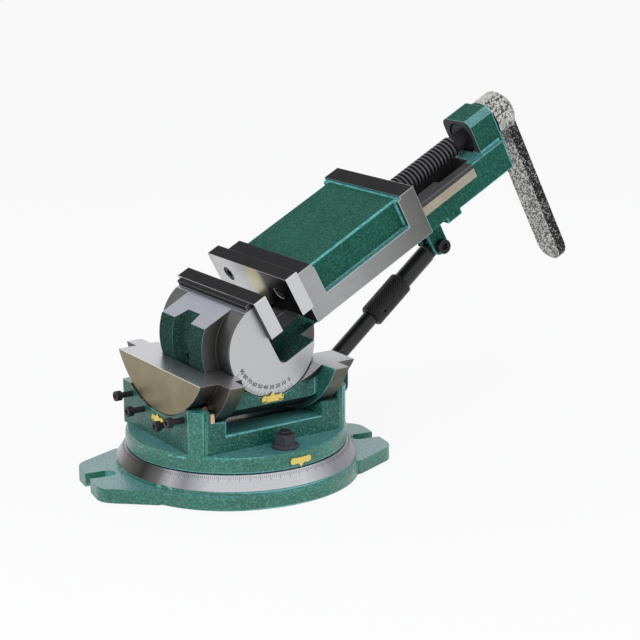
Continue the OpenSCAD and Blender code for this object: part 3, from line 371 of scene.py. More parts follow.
# Turned iron painted dark as shade: in the swivel body's trough, and on the cradle's underside, rib sides
# and lower rims.
metal("turned_x_in_shade", (0.150, 0.135, 0.128), 0.42, turned("X"), depth=0.03,
      stain=(0.5, (0.090, 0.082, 0.076)))
metal("dark_turned_y", (0.14, 0.14, 0.137), 0.42, turned("Y"), depth=0.05, stain=(0.5, (0.09, 0.09, 0.087)),
      edge_gain=1.6)
metal("dial_face", (0.60, 0.605, 0.62), 0.40, turned("Y"), depth=0.01)
ring_steel("ring_steel")
metal("ground_steel", (0.66, 0.665, 0.69), 0.28, along_y, depth=0.01)
metal("stained_steel", (0.60, 0.605, 0.62), 0.30, along_y, depth=0.01, stain=(0.3, (0.40, 0.36, 0.26)),
      fades=PLATE_FACE_FADES)
blacked("blackened", along_y, roughness=0.42, edge_gain=7.0, specular=0.02)
# Near black for the bed: painted shade on its top before the head, in its slot and head recess, and on the
# top band of its sides.
blacked("black_in_shade_x", along_x, (0.080, 0.080, 0.082), roughness=0.45, edge_gain=2.5, specular=0.04)
blacked("strut_black", turned("X"), roughness=0.26, edge_gain=6.0, specular=0.35)
blacked("black_oxide", turned("Z"))
blacked("black_oxide_x", turned("X"))
blacked("black_oxide_y", turned("Y"))
blacked("nut_black", turned("Z"), (0.052, 0.058, 0.072), roughness=0.32, edge_gain=4.0)
blacked("thread_black", turned("Z"), roughness=0.36, edge_gain=4.0, specular=0.1)
blacked("thread_crest", turned("Z"), (0.090, 0.090, 0.100), roughness=0.30, edge_gain=4.0, specular=0.3)
knurled("knurled_black", (0.045, 0.044, 0.046), 0.42)
metal("brass", (0.83, 0.66, 0.20), 0.26, along_x, depth=0.03, stain=(0.35, (0.62, 0.44, 0.10)))
metal("gib_brass", (0.66, 0.50, 0.42), 0.34, along_y, depth=0.03, stain=(0.35, (0.55, 0.40, 0.30)))
metal("bronze", (0.50, 0.33, 0.15), 0.35, turned("Z"), depth=0.01, stain=(0.4, (0.30, 0.19, 0.09)))
metal("machined_steel", (0.52, 0.51, 0.50), 0.35, turned("Z"), depth=0.01)
# The crank in two tones: the lighter copy is a painted highlight, and the darker copy is painted shade.
crank_steel("crank_lit", (0.62, 0.62, 0.59), (0.10, 0.10, 0.10), -0.04)
crank_steel("crank_shaded", (0.38, 0.38, 0.38), (0.018, 0.018, 0.020), 0.08)
ink("engraved_mark")


# Mesh helpers. The values say which edges are rounded, how finely, what counts as a flaw of the rounding,
# and which narrow faces are marked as an edge.

WELD = 0.002
SAME_PLANE = math.radians(0.4)
SHARP_BEND = math.radians(28)
ROUNDED_STEPS = 3
ROUNDED_SMOOTH = 38
ROOM_SHARE = 0.42
PARALLEL = 0.8
OFF_SURFACE = 0.6
TINY_AREA = 2e-9
TURNED_OVER = -0.2
FLAW_REACH = 1.5
ROUNDING_ATTEMPTS = 9
HALVING_ATTEMPTS = 4
TAPER_ROUNDS = 12
TAPER_GAIN = 1.15
TAPER_STEP = 0.05
NARROW = 0.8
MARKED_BEND = math.radians(17)


def finish_piece(name, bm, place, materials, body, replaces=(), smooth_angle=30.0):
    """Turns a mesh in millimetres in the given frame into a piece that rides on a body."""
    bmesh.ops.recalc_face_normals(bm, faces=bm.faces)
    for v in bm.verts:
        v.co *= MM
    mesh = bpy.data.meshes.new(name)
    bm.to_mesh(mesh)
    bm.free()
    for m in materials:
        mesh.materials.append(MATERIALS[m])
    smooth(mesh, smooth_angle)
    piece = bpy.data.objects.new(name, mesh)
    bpy.context.scene.collection.objects.link(piece)
    piece.matrix_world = place
    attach(piece, body)
    if replaces:
        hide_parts(*replaces)
    return piece


def smooth(mesh, angle):
    mesh.polygons.foreach_set("use_smooth", [True] * len(mesh.polygons))
    mesh.set_sharp_from_angle(angle=math.radians(angle))


def whole_faces(node, place):
    """A copy of a CAD node's mesh in millimetres in a frame, with every flat face in one piece."""
    bm = bmesh.new()
    bm.from_mesh(NODES[node].data)
    bm.transform(Matrix.Scale(1 / MM, 4) @ place.inverted())
    bmesh.ops.remove_doubles(bm, verts=bm.verts, dist=WELD)
    bmesh.ops.dissolve_limit(bm, angle_limit=SAME_PLANE, verts=bm.verts, edges=bm.edges)
    bm.normal_update()
    return bm


def cut_faces(bm, point, normal, chosen):
    """Splits the chosen faces along a plane, so that their two sides can have different finishes."""
    faces = [f for f in bm.faces if chosen(f.normal, f.calc_center_median())]
    edges = {e for f in faces for e in f.edges}
    verts = {v for f in faces for v in f.verts}
    parts = faces + list(edges) + list(verts)
    bmesh.ops.bisect_plane(bm, geom=parts, dist=0.001, plane_co=point, plane_no=normal)
    bm.normal_update()


def room_at(edge):
    """How far an edge's bevel may reach before it meets the next edge."""
    room = math.inf
    along = (edge.verts[1].co - edge.verts[0].co).normalized()
    for v in edge.verts:
        for other in v.link_edges:
            way = other.other_vert(v).co - v.co
            if other is not edge and way.length and abs(way.normalized().dot(along)) < PARALLEL:
                room = min(room, way.length * ROOM_SHARE)
    return room


def crossings(corners, normal):
    """Points where a face's outline crosses itself."""
    side = normal.orthogonal().normalized()
    other = normal.cross(side)
    start = numpy.array([(c.dot(side), c.dot(other)) for c in corners])
    end = numpy.roll(start, -1, axis=0)
    way = end - start
    to_start = start[None, :, :] - start[:, None, :]
    to_end = end[None, :, :] - start[:, None, :]
    first = way[:, None, 0] * to_start[:, :, 1] - way[:, None, 1] * to_start[:, :, 0]
    second = way[:, None, 0] * to_end[:, :, 1] - way[:, None, 1] * to_end[:, :, 0]
    apart = first * second < -1e-20
    both = numpy.argwhere(numpy.triu(apart & apart.T, 2))
    count = len(corners)
    return [(corners[a] + corners[(a + 1) % count] + corners[b] + corners[(b + 1) % count]) / 4
            for a, b in both if (b + 1) % count != a]


def flaws(mesh, tree, width):
    """Points where a rounded mesh leaves the solid it was made from, turns inside out or crosses itself."""
    found = [v.co.copy() for v in mesh.vertices if tree.find_nearest(v.co)[3] > OFF_SURFACE * width]
    for f in mesh.polygons:
        if len(f.vertices) > 4:
            corners = [mesh.vertices[i].co for i in f.vertices]
            found += crossings(corners, f.normal)
        if f.area > TINY_AREA and len(f.vertices) < 6:
            nearest = tree.find_nearest(f.center)
            if f.normal.dot(nearest[1]) < TURNED_OVER:
                found.append(f.center.copy())
    return found


def round_edges(piece, width, enamels, wide):
    """Rounds a piece's sharp edges, less where that leaves a flaw, and gives the widest width used."""
    mesh = piece.data
    bm = bmesh.new()
    bm.from_mesh(mesh)
    tree = BVHTree.FromBMesh(bm)
    layer = bm.edges.layers.float.new("bevel_weight_edge")
    limit = {}
    for e in bm.edges:
        if len(e.link_faces) == 2 and e.calc_face_angle(0) > SHARP_BEND:
            both_enamel = max(f.material_index for f in e.link_faces) < enamels
            limit[e] = min((wide if both_enamel else width) * MM, room_at(e))
    top = max(limit.values(), default=0)
    rounded = piece.modifiers.new("rounded", "BEVEL")
    rounded.limit_method = "WEIGHT"
    rounded.segments = ROUNDED_STEPS
    rounded.use_clamp_overlap = False
    for attempt in range(ROUNDING_ATTEMPTS):
        if top <= 0:
            break
        taper(limit)
        for e, w in limit.items():
            e[layer] = w / top
        bm.to_mesh(mesh)
        rounded.width = top
        made = evaluated(piece)
        found = flaws(made, tree, top)
        bpy.data.meshes.remove(made)
        if not found:
            break
        narrow_near(found, limit, attempt)
    bm.free()
    if top > 0:
        apply_modifiers(piece)
        smooth(piece.data, ROUNDED_SMOOTH)
    even = piece.modifiers.new("even_normals", "WEIGHTED_NORMAL")
    even.keep_sharp = True
    even.weight = 100
    apply_modifiers(piece)
    return top


def narrow_near(found, limit, attempt):
    """Halves the widths of the edges near the flaws, and drops them in the later attempts."""
    reach = (FLAW_REACH + attempt) * MM
    for e in limit:
        a, b = (v.co for v in e.verts)
        way = b - a
        for p in found:
            share = max(0.0, min(1.0, (p - a).dot(way) / way.length_squared))
            if (a + way * share - p).length < reach:
                limit[e] = limit[e] * 0.5 if attempt < HALVING_ATTEMPTS else 0.0
                break


def taper(limit):
    """Lets a width change only slowly along a line of edges."""
    for _ in range(TAPER_ROUNDS):
        for e in limit:
            way = (e.verts[1].co - e.verts[0].co).normalized()
            for v in e.verts:
                for other in v.link_edges:
                    if other in limit and other is not e:
                        w = (other.verts[1].co - other.verts[0].co).normalized()
                        if abs(w.dot(way)) > PARALLEL:
                            limit[e] = min(limit[e], limit[other] * TAPER_GAIN + TAPER_STEP * MM)


def evaluated(piece):
    bpy.context.view_layer.update()
    graph = bpy.context.evaluated_depsgraph_get()
    return bpy.data.meshes.new_from_object(piece.evaluated_get(graph))


def apply_modifiers(piece):
    made = evaluated(piece)
    piece.modifiers.clear()
    old, piece.data = piece.data, made
    bpy.data.meshes.remove(old)


def mark_edges(piece, width):
    """Marks the narrow faces along convex edges, for paint and metal that show wear there, and a painted
    highlight along them.
    """
    bm = bmesh.new()
    bm.from_mesh(piece.data)
    value = []
    for f in bm.faces:
        longest = max(e.calc_length() for e in f.edges)
        bend = max((e.calc_face_angle_signed(0) for e in f.edges if len(e.link_faces) == 2), default=0)
        narrow = len(f.verts) > 3 and longest > 0 and f.calc_area() / longest < NARROW * width
        value += [1.0 if narrow and bend > MARKED_BEND else 0.0] * len(f.loops)
    bm.free()
    attribute = piece.data.attributes.new("edge", "FLOAT", "CORNER")
    attribute.data.foreach_set("value", value)


def dress(node, place, materials, paint, width, enamels=0, wide=0.0, cuts=()):
    """Stands a finished copy for a CAD node. paint(normal, centre) names each face's material.

    Its sharp edges are rounded by width, in millimetres, and by wide between two of its enamels, which come
    first among the materials.
    """
    bm = whole_faces(node, place)
    for point, normal, chosen in cuts:
        cut_faces(bm, point, normal, chosen)
    for f in bm.faces:
        f.material_index = materials.index(paint(f.normal, f.calc_center_median()))
    piece = finish_piece(node + "_finished", bm, place, materials, BODY_OF[node], (node,))
    mark_edges(piece, round_edges(piece, width, enamels, wide))


def dress_plain(node, place, material, width):
    dress(node, place, [material], lambda n, c: material, width)


# Castings. The paint rules know a face by its normal and centre in the casting's own frame. FLAT, FACING and
# ACROSS limit one part of a unit normal, and MARGIN is the play in a position.

FLAT = 0.99
FACING = 0.9
ACROSS = 0.05
MARGIN = 1.0
CRADLE_HIGH = local_box("cradle", ON_CRADLE)[1]
JAW_LOW, JAW_HIGH = local_box("movable_jaw", ON_VISE)
BODY_HIGH = local_box("swivel_body", ON_SWIVEL)[1]
PLATE_HIGH = local_box("fixed_jaw_plate", ON_VISE)[1]
BUSH_LOW, BUSH_HIGH = local_box("head_bush", ON_VISE)
DISC_TOP = TILT_AXIS_Z - 74.0
DISC_BOTTOM = 38.0
BOX_R = 88.0
TROUGH_R = 70.0
TROUGH_INWARD = 0.93
RIB_OUTWARD = 0.95
RIB_SIDE_X = 50.0
RIB_X = 43.0
RIB_R = 95.0
RIB_SHADE_Z = -72.0
BED_HALF_W = 26.5
BED_TOP = 3.5
BED_START = 12.0
SLOT_HALF_W = 17.0
SLOT_DEPTH = 20.0
WAY_START = 46.0
WAY_END = 258.0
WAY_LOW = -9.0
WAY_TOP = -0.5
DRUM_R = 43.0
DRUM_BORDER_R = 38.0
DRUM_HALF_W = 35.4
LEDGE_Z = 40.2
WALL_BACK = -4.5
WALL_FOOT_Z = 9.5
HEAD_FRONT_X = 262.0
HEAD_X = 270.0
HEAD_ROUND_Z = 25.0
HEAD_ROUND_UP = 0.25
HEAD_ROUND_SIDE = 0.2
RECESS_R = 15.8
RECESS_INWARD = 0.5
JAW_TOP_Z = 38.0
JAW_LEDGE_Z = 12.0
HUB_R = 21.0
ARM_UP = 0.5


def near(a, b, tolerance=0.25):
    return abs(a - b) < tolerance


def paint_swivel(n, c):
    up = c.z - TILT_AXIS_Z
    radius = math.hypot(c.y, up)
    if n.z > FLAT and c.z < DISC_TOP:
        return "green_enamel_lit"
    inward = -(n.y * c.y + n.z * up)
    # The trough under the cradle is painted dark as shade.
    if abs(c.x) < BODY_HIGH.x - 2 * MARGIN and radius > TROUGH_R and inward > TROUGH_INWARD * radius:
        return "turned_x_in_shade"
    if n.z > FACING:
        return "green_enamel_lit"
    outside = math.hypot(c.x, c.y) > BOX_R or c.z < DISC_BOTTOM
    return "green_enamel" if outside else "green_enamel_walls_in_shade"


def paint_base(n, c):
    return "green_enamel_lit" if n.z > FACING else "green_enamel"


def paint_cradle(n, c):
    radius = math.hypot(c.y, c.z)
    outward = (n.y * c.y + n.z * c.z) / radius
    if n.z > FLAT and near(c.z, CRADLE_HIGH.z):
        return "bare_along_y"
    if abs(n.x) > FLAT and near(abs(c.x), CRADLE_HIGH.x):
        return "end_plate_face"
    if abs(n.x) > FLAT and abs(c.x) > RIB_SIDE_X:
        return "turned_x_in_shade"
    if abs(n.x) < ACROSS and outward > RIB_OUTWARD:
        # High on the rib rims the turned iron is lighter; below a set height it is painted dark as shade.
        rim = abs(c.x) > RIB_X and radius > RIB_R and c.z > RIB_SHADE_Z
        return "rim_turned_x" if rim else "turned_x_in_shade"
    if outward < 0 and abs(n.x) < FACING:
        return "bare_along_x"
    return "green_enamel_walls_in_shade"


def in_recess(n, c):
    """Whether a face is the round wall of the screw head's recess, in front of the bush."""
    up = c.z - SCREW_Z
    inward = n.y * c.y + n.z * up < RECESS_INWARD
    return HEAD_FRONT_X < c.x < BUSH_LOW.x + MARGIN and math.hypot(c.y, up) < RECESS_R and inward


def paint_vise(n, c):
    radius = math.hypot(c.x, c.z)
    side = abs(n.y) > FLAT
    if n.z > FLAT and near(c.z, LEDGE_Z):
        return "bare_ledge" if abs(c.y) < DRUM_HALF_W else "blackened"
    on_wall = near(c.x, WALL_BACK) or n.x > FACING or c.z > LEDGE_Z + MARGIN
    if c.x < PLATE_HIGH.x + MARGIN and c.z > WALL_FOOT_Z and on_wall:
        return "blackened"
    if side and near(abs(c.y), BED_HALF_W):
        if c.z < WAY_LOW or c.x > WAY_END:
            return "green_enamel_upper_in_shade" if c.x > WAY_START else "green_enamel_shaded"
        # Above the way, the top band of the bed's side is near black: painted shade.
        return "bed_way" if c.x > WAY_START and c.z < WAY_TOP else "black_in_shade_x"
    if side and abs(c.y) > DRUM_HALF_W - MARGIN and c.x < DRUM_R:
        return "dark_turned_y"
    if n.z > FLAT and near(c.z, BED_TOP):
        # Before the way's end the bed's top is near black, painted shade; past it the lit enamel, a painted
        # highlight.
        return "black_in_shade_x" if c.x < WAY_END else "green_enamel_lit"
    border = c.x < MARGIN and DRUM_BORDER_R < radius < DRUM_R and abs(c.y) > DRUM_HALF_W
    if border and abs(n.y) < ACROSS:
        return "dark_turned_y"
    # The head's rounded top edges get the lit enamel: a painted highlight.
    head_round = n.z > HEAD_ROUND_UP and abs(n.y) > HEAD_ROUND_SIDE
    if head_round and c.x > HEAD_X and c.z > HEAD_ROUND_Z:
        return "green_enamel_lit"
    if c.x < WAY_START:
        return "green_enamel_shaded"
    if abs(c.y) < SLOT_HALF_W and BED_TOP - SLOT_DEPTH < c.z < BED_TOP and c.x < HEAD_X:
        return "black_in_shade_x"
    return "black_in_shade_x" if in_recess(n, c) else "green_enamel_upper_in_shade"


def paint_movable_jaw(n, c):
    if n.x < -FLAT and near(c.x, JAW_LOW.x):
        return "blackened"
    if abs(n.y) > FLAT and near(abs(c.y), JAW_HIGH.y):
        return "jaw_side"
    if n.z > FLAT and c.z > JAW_TOP_Z:
        return "blackened"
    if n.z > FLAT and c.z < JAW_LEDGE_Z:
        return "green_enamel_lit"
    if n.z < -FLAT or (n.x > FLAT and near(c.x, JAW_HIGH.x)):
        return "bare_along_y"
    return "green_enamel_upper_in_shade"


def paint_plate(n, c):
    if n.z > FLAT:
        return "blackened"
    return "stained_steel" if n.x < -FACING else "ground_steel"


def paint_dial(n, c):
    return "dial_face" if n.y < -FACING else "dark_turned_y"


def paint_crank(n, c):
    # The arm's broad faces and the hub take the lighter copy, a painted highlight; the narrow sides take the
    # darker one, painted shade.
    bright = abs(n.z) > ARM_UP or math.hypot(c.x, c.y) < HUB_R
    return "crank_lit" if bright else "crank_shaded"


def bed_side(n, c):
    return abs(n.y) > FLAT and near(abs(c.y), BED_HALF_W) and c.x > BED_START


def bed_face(n, c):
    return n.z > FLAT and near(c.z, BED_TOP)


VISE_CUTS = [
    ((0, 0, WAY_LOW), (0, 0, 1), bed_side),
    ((WAY_END, 0, 0), (1, 0, 0), bed_side),
    ((0, 0, WAY_TOP), (0, 0, 1), bed_side),
    ((WAY_START, 0, 0), (1, 0, 0), bed_side),
    ((WAY_END, 0, 0), (1, 0, 0), bed_face),
]
SWIVEL_FINISHES = ["green_enamel", "green_enamel_lit", "green_enamel_walls_in_shade", "turned_x_in_shade"]
CRADLE_FINISHES = ["green_enamel_walls_in_shade", "bare_along_y", "end_plate_face", "turned_x_in_shade", "rim_turned_x",
                   "bare_along_x"]
VISE_FINISHES = ["green_enamel_upper_in_shade", "green_enamel_shaded", "green_enamel_lit", "bare_ledge", "blackened",
                 "black_in_shade_x", "dark_turned_y", "bed_way"]
JAW_FINISHES = ["green_enamel_upper_in_shade", "green_enamel_lit", "blackened", "jaw_side", "bare_along_y"]
PLATE_FINISHES = ["ground_steel", "stained_steel", "blackened"]

dress("base_casting", ON_BASE, ["green_enamel", "green_enamel_lit"], paint_base, width=2.2)
dress("swivel_body", ON_SWIVEL, SWIVEL_FINISHES, paint_swivel, width=0.8, enamels=3, wide=1.6)
dress("cradle", ON_CRADLE, CRADLE_FINISHES, paint_cradle, width=0.6, enamels=1, wide=1.2)
dress_plain("strut_bracket", ON_SWIVEL, "green_enamel_upper_in_shade", width=1.0)
dress("vise_body", ON_VISE, VISE_FINISHES, paint_vise, width=0.5, enamels=3, wide=1.4, cuts=VISE_CUTS)
dress("movable_jaw", ON_VISE, JAW_FINISHES, paint_movable_jaw, width=0.6, enamels=2, wide=1.6)
dress("fixed_jaw_plate", ON_VISE, PLATE_FINISHES, paint_plate, width=0.35)
dress("movable_jaw_plate", ON_VISE, PLATE_FINISHES, paint_plate, width=0.35)
dress("elevation_dial", ON_VISE, ["dial_face", "dark_turned_y"], paint_dial, width=0.25)
dress_plain("graduated_ring", ON_BASE, "ring_steel", width=0.3)
dress("crank_handle", ON_SCREW, ["crank_lit", "crank_shaded"], paint_crank, width=2.6)


# Fasteners, pointers and other small parts, each in one finish

SMALL_PARTS = [
    (ON_BASE, {
        "pivot_pin": "machined_steel",
    }),
    (ON_SWIVEL, {
        "tilt_clamp_screws": "black_oxide_x",
        "tilt_pointer": "brass",
        "tilt_pointer_rivets": "brass",
        "swivel_pointer": "brass",
        "elevation_pointer": "brass",
        "elevation_pointer_rivets": "brass",
        "tilt_gib": "gib_brass",
        "swivel_bolts": "black_oxide",
        "swivel_nuts": "nut_black",
        "strut_bracket_screws": "black_oxide_x",
        "hold_down_bolt": "black_oxide",
        "hold_down_nut": "black_oxide",
    }),
    (ON_VISE, {
        "fixed_plate_screws": "black_oxide_x",
        "movable_plate_screws": "black_oxide_x",
        "strut_pivot_bolt": "black_oxide_y",
        "strut_pivot_nut": "black_oxide_y",
        "keeper_screws": "black_oxide",
        "keeper_plate": "machined_steel",
        "jaw_nut": "bronze",
    }),
    (ON_SCREW, {
        "head_bush": "bronze",
        "crank_pin": "machined_steel",
    }),
    (ON_STRUT, {
        "strut_upper_tube": "strut_black",
        "strut_sleeve": "knurled_black",
        "strut_lock_screw": "black_oxide_y",
        "strut_lower_rod": "strut_black",
    }),
]
for place, finishes in SMALL_PARTS:
    for node, material in finishes.items():
        dress_plain(node, place, material, width=0.3)


# Lead screw: a true helix at the pitch that couples crank and jaw

SCREW_LOW, SCREW_HIGH = local_box("lead_screw", ON_SCREW)
SCREW_STEPS = 40
THREAD_LEAD = 4.0
THREAD_ROOT = 7.4
THREAD_CREST = 9.5
THREAD_RUN_IN = 2.5
NECK_LEN = 12.7
HEAD_RECESS = 6.3
JOURNAL_R = 7.83
STUB_R = 6.95
STUB_OUT = 1.0
THREAD_END_LEN = 0.6
COLLAR_R = 14.5
COLLAR_T = 5.0
COLLAR_EDGE = 0.5
END_PLAY = 0.08
THREAD_PROFILE = ((0.0, THREAD_ROOT), (0.26, THREAD_ROOT), (0.40, THREAD_CREST), (0.86, THREAD_CREST))
CREST_FACE = 2
THREAD_SMOOTH = 32
SCREW_WELD = 0.003
THREAD_EDGE = 0.4


def ring_of(bm, radius, z):
    angles = [math.tau * i / SCREW_STEPS for i in range(SCREW_STEPS)]
    return [bm.verts.new((radius * math.cos(a), radius * math.sin(a), z)) for a in angles]


def skin(bm, low, high):
    for i in range(SCREW_STEPS):
        j = (i + 1) % SCREW_STEPS
        bm.faces.new((low[i], low[j], high[j], high[i]))


def thread(bm, start, end):
    """Winds the thread's profile round the Z axis, cut off flat at its two ends."""
    turns = math.ceil((end - start) / THREAD_LEAD) + 1
    columns = []
    for m in range((turns + 1) * SCREW_STEPS + 1):
        a = math.tau * m / SCREW_STEPS
        column = []
        for share, radius in THREAD_PROFILE:
            z = start - THREAD_LEAD + THREAD_LEAD * (m / SCREW_STEPS + share)
            inside = start < z < end
            z = min(max(z, start), end)
            fade = min(1.0, (z - start) / THREAD_RUN_IN)
            r = THREAD_ROOT + (radius - THREAD_ROOT) * fade if inside else THREAD_ROOT
            column.append(bm.verts.new((r * math.cos(a), r * math.sin(a), z)))
        columns.append(column)
    for m in range(len(columns) - 1):
        for j in range(len(THREAD_PROFILE)):
            last = j == len(THREAD_PROFILE) - 1
            if last and m + SCREW_STEPS + 1 >= len(columns):
                continue
            a, b = columns[m][j], columns[m + 1][j]
            c = columns[m + 1 + SCREW_STEPS][0] if last else columns[m + 1][j + 1]
            d = columns[m + SCREW_STEPS][0] if last else columns[m][j + 1]
            face = bm.faces.new((a, b, c, d))
            face.material_index = 1 if j == CREST_FACE else 0


def lead_screw():
    start = SCREW_LOW.z
    thread_end = BUSH_LOW.x - HEAD_RECESS - NECK_LEN
    collar_front = BUSH_LOW.x - END_PLAY
    collar_back = collar_front - COLLAR_T
    journal_end = BUSH_HIGH.x + STUB_OUT
    outline = (
        (JOURNAL_R, thread_end + THREAD_END_LEN),
        (JOURNAL_R, collar_back),
        (COLLAR_R - COLLAR_EDGE, collar_back),
        (COLLAR_R, collar_back + COLLAR_EDGE),
        (COLLAR_R, collar_front - COLLAR_EDGE),
        (COLLAR_R - COLLAR_EDGE, collar_front),
        (JOURNAL_R, collar_front),
        (JOURNAL_R, journal_end),
        (STUB_R, journal_end),
        (STUB_R, SCREW_HIGH.z),
    )
    bm = bmesh.new()
    thread(bm, start, thread_end)
    bm.faces.new(ring_of(bm, THREAD_ROOT, start))
    rows = [ring_of(bm, THREAD_ROOT, thread_end)]
    for radius, z in outline:
        rows.append(ring_of(bm, radius, z))
        skin(bm, rows[-2], rows[-1])
    bm.faces.new(rows[-1])
    bmesh.ops.remove_doubles(bm, verts=bm.verts, dist=SCREW_WELD)
    bmesh.ops.dissolve_degenerate(bm, edges=bm.edges, dist=SCREW_WELD)
    piece = finish_piece("lead_screw_threaded", bm, ON_SCREW, ["thread_black", "thread_crest"],
                         BODY_OF["lead_screw"], ("lead_screw",), THREAD_SMOOTH)
    mark_edges(piece, THREAD_EDGE * MM)


# Graduations: thin inlaid marks that stand a few hundredths proud. Rows are (every, length, half width).

PROUD = 0.04
MARK_DEPTH = 0.10
DIAL_MARKS = ((10, 4.2, 0.16), (5, 3.4, 0.12), (1, 2.0, 0.08))
DIAL_END = 90
DIAL_BORDER = 0.3
NUMBER_EVERY = 10
NUMBER_R = 33.0
NUMBER_SIZE = 4.6
NUMBER_BOLD = 0.10
RING_MARKS = ((5, 4.4, 0.16), (1, 2.4, 0.11))
RING_BEVEL = 7.2
RING_TOP = 0.5
RING_FOOT = 0.8
RING_BORDER = 0.5


def mark_size(degree, rows):
    return next((length, half) for every, length, half in rows if degree % every == 0)


def slab(bm, corners, outward):
    """A thin closed tile over a flat outline, from below the surface to just above it."""
    top = [bm.verts.new(Vector(p) + outward * PROUD) for p in corners]
    low = [bm.verts.new(Vector(p) - outward * (MARK_DEPTH - PROUD)) for p in corners]
    bm.faces.new(top)
    bm.faces.new(low[::-1])
    for i in range(len(corners)):
        j = (i + 1) % len(corners)
        bm.faces.new((top[i], low[i], low[j], top[j]))


def number(text):
    """A number as a thin mesh about its own middle, in millimetres."""
    curve = bpy.data.curves.new("number", "FONT")
    curve.body = text
    curve.size = NUMBER_SIZE
    curve.offset = NUMBER_BOLD
    curve.align_x = "CENTER"
    curve.align_y = "CENTER"
    curve.extrude = MARK_DEPTH / 2
    curve.resolution_u = 3
    holder = bpy.data.objects.new("number", curve)
    bpy.context.scene.collection.objects.link(holder)
    mesh = evaluated(holder)
    bpy.data.objects.remove(holder)
    bpy.data.curves.remove(curve)
    return mesh


def dial_marks():
    low = local_box("elevation_dial", ON_VISE)[0]
    rim = -low.x - DIAL_BORDER
    out = Vector((0, -1, 0))
    centre = Vector((0, low.y, 0))
    upright = Matrix(((1, 0, 0), (0, 0, -1), (0, 1, 0))).to_4x4()
    bm = bmesh.new()
    for degree in range(DIAL_END + 1):
        a = math.radians(degree)
        way = Vector((-math.sin(a), 0, -math.cos(a)))
        across = Vector((-math.cos(a), 0, math.sin(a)))
        length, half = mark_size(degree, DIAL_MARKS)
        inner = centre + way * (rim - length)
        outer = centre + way * rim
        slab(bm, [inner - across * half, inner + across * half,
                  outer + across * half, outer - across * half], out)
    for degree in range(0, DIAL_END + 1, NUMBER_EVERY):
        a = math.radians(degree)
        depth = low.y - PROUD + MARK_DEPTH / 2
        middle = Vector((-math.sin(a) * NUMBER_R, depth, -math.cos(a) * NUMBER_R))
        mesh = number(str(degree))
        mesh.transform(Matrix.Translation(middle) @ about_y(a) @ upright)
        bm.from_mesh(mesh)
        bpy.data.meshes.remove(mesh)
    finish_piece("elevation_dial_marks", bm, ON_VISE, ["engraved_mark"],
                 BODY_OF["elevation_dial"])


def ring_marks():
    low, high = local_box("graduated_ring", ON_BASE)
    top = Vector((high.x - RING_BEVEL, 0, high.z - RING_TOP))
    foot = Vector((high.x, 0, low.z + RING_FOOT))
    down = (foot - top).normalized()
    out = Vector((-down.z, 0, down.x))
    bm = bmesh.new()
    for degree in range(360):
        spin = Matrix.Rotation(math.radians(degree), 3, "Z")
        length, half = mark_size(degree, RING_MARKS)
        a = top + down * RING_BORDER
        b = a + down * length
        side = Vector((0, half, 0))
        slab(bm, [spin @ p for p in (a - side, b - side, b + side, a + side)], spin @ out)
    finish_piece("graduated_ring_marks", bm, ON_BASE, ["engraved_mark"],
                 BODY_OF["graduated_ring"])


lead_screw()
dial_marks()
ring_marks()


# Stage, light and camera

FLOOR_SIZE = 12.0
FLOOR_DROP = 0.0002
FLOOR_GLOW = 0.86
STUDIO_GREY = (0.60, 0.61, 0.63, 1)
WHITE = (1, 1, 1, 1)
AZIMUTH = math.radians(-24.09)
ELEVATION = math.radians(14.63)
ROLL = math.radians(-0.16)
CAMERA_BACK = 1458.94
CAMERA_RIGHT = 71.06
CAMERA_UP = 125.54
LENS = 96.4
SENSOR = 36.0


def stage():
    mesh = bpy.data.meshes.new("floor")
    corners = [(-1, -1), (1, -1), (1, 1), (-1, 1)]
    mesh.from_pydata([(x * FLOOR_SIZE, y * FLOOR_SIZE, 0) for x, y in corners], [], [(0, 1, 2, 3)])
    floor = bpy.data.objects.new("floor", mesh)
    bpy.context.scene.collection.objects.link(floor)
    floor.location.z = -FLOOR_DROP
    s = Shader("floor")
    s.set(Base_Color=(0.88, 0.88, 0.88, 1), Roughness=0.9, Specular_IOR_Level=0.1)
    rays = s.add("LightPath")
    seen = s.math("MAXIMUM", rays.outputs["Is Camera Ray"], rays.outputs["Is Glossy Ray"])
    glow = s.add("Emission", {"Color": WHITE, "Strength": 1.0})
    mix = s.add("MixShader", {"Fac": s.math("MULTIPLY", seen, FLOOR_GLOW)})
    s.tree.links.new(s.surface.outputs[0], mix.inputs[1])
    s.tree.links.new(glow.outputs[0], mix.inputs[2])
    s.tree.links.new(mix.outputs[0], s.tree.nodes["Material Output"].inputs["Surface"])
    mesh.materials.append(s.material)


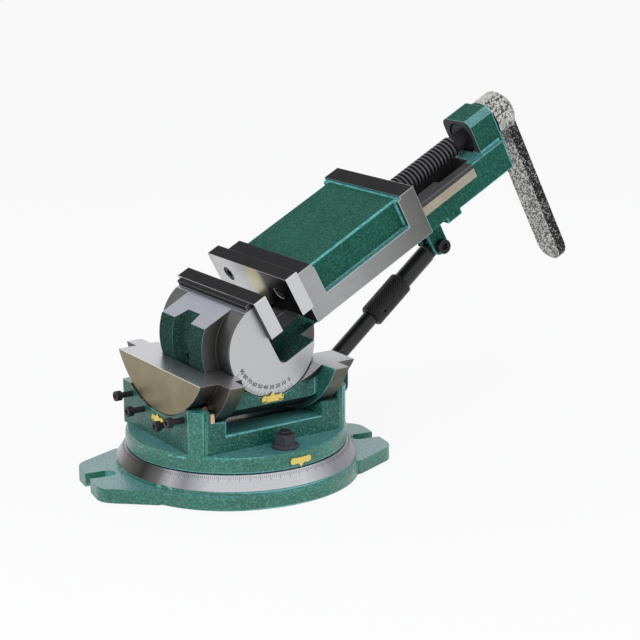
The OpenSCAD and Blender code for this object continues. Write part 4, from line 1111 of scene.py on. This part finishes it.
def world():
    """Even grey light, and plain white for what the camera sees directly, mirrored or through glass."""
    made = bpy.data.worlds.new("studio")
    bpy.context.scene.world = made
    made.use_nodes = True
    nodes, links = made.node_tree.nodes, made.node_tree.links
    nodes.clear()
    rays = nodes.new("ShaderNodeLightPath")
    seen = rays.outputs["Is Camera Ray"]
    for other in ("Is Transmission Ray", "Is Glossy Ray"):
        either = nodes.new("ShaderNodeMath")
        either.operation = "MAXIMUM"
        links.new(seen, either.inputs[0])
        links.new(rays.outputs[other], either.inputs[1])
        seen = either.outputs[0]
    mix = nodes.new("ShaderNodeMix")
    mix.data_type = "RGBA"
    links.new(seen, mix.inputs["Factor"])
    colours = [i for i in mix.inputs if i.type == "RGBA"]
    colours[0].default_value = STUDIO_GREY
    colours[1].default_value = WHITE
    back = nodes.new("ShaderNodeBackground")
    links.new([o for o in mix.outputs if o.type == "RGBA"][0], back.inputs["Color"])
    out = nodes.new("ShaderNodeOutputWorld")
    links.new(back.outputs[0], out.inputs["Surface"])


def lamp(name, place, aim, size, power):
    data = bpy.data.lights.new(name, "AREA")
    data.shape = "RECTANGLE"
    data.size = size
    data.size_y = size
    data.energy = power
    made = bpy.data.objects.new(name, data)
    bpy.context.scene.collection.objects.link(made)
    made.location = place
    made.rotation_mode = "QUATERNION"
    made.rotation_quaternion = (Vector(aim) - Vector(place)).to_track_quat("-Z", "Y")
    made.visible_glossy = False


def camera():
    level = math.cos(ELEVATION)
    back = Vector((math.sin(AZIMUTH) * level, -math.cos(AZIMUTH) * level, math.sin(ELEVATION)))
    right = Vector((math.cos(AZIMUTH), math.sin(AZIMUTH), 0))
    up = back.cross(right)
    place = (back * CAMERA_BACK + right * CAMERA_RIGHT + up * CAMERA_UP) * MM
    rolled_right = right * math.cos(ROLL) + up * math.sin(ROLL)
    rolled_up = up * math.cos(ROLL) - right * math.sin(ROLL)
    data = bpy.data.cameras.new("camera")
    data.lens = LENS
    data.sensor_width = SENSOR
    data.clip_start = 0.05
    data.clip_end = 60
    made = bpy.data.objects.new("camera", data)
    bpy.context.scene.collection.objects.link(made)
    turned_to = Matrix((rolled_right, rolled_up, back)).transposed().to_4x4()
    made.matrix_world = Matrix.Translation(place) @ turned_to
    bpy.context.scene.camera = made


stage()
world()
lamp("key", (-0.9, -0.9, 1.5), aim=(0.05, 0, 0.12), size=0.9, power=14.0)
lamp("fill", (1.4, -1.2, 0.7), aim=(0.1, 0, 0.12), size=1.2, power=6.0)
camera()
bpy.context.scene.view_settings.view_transform = "Standard"
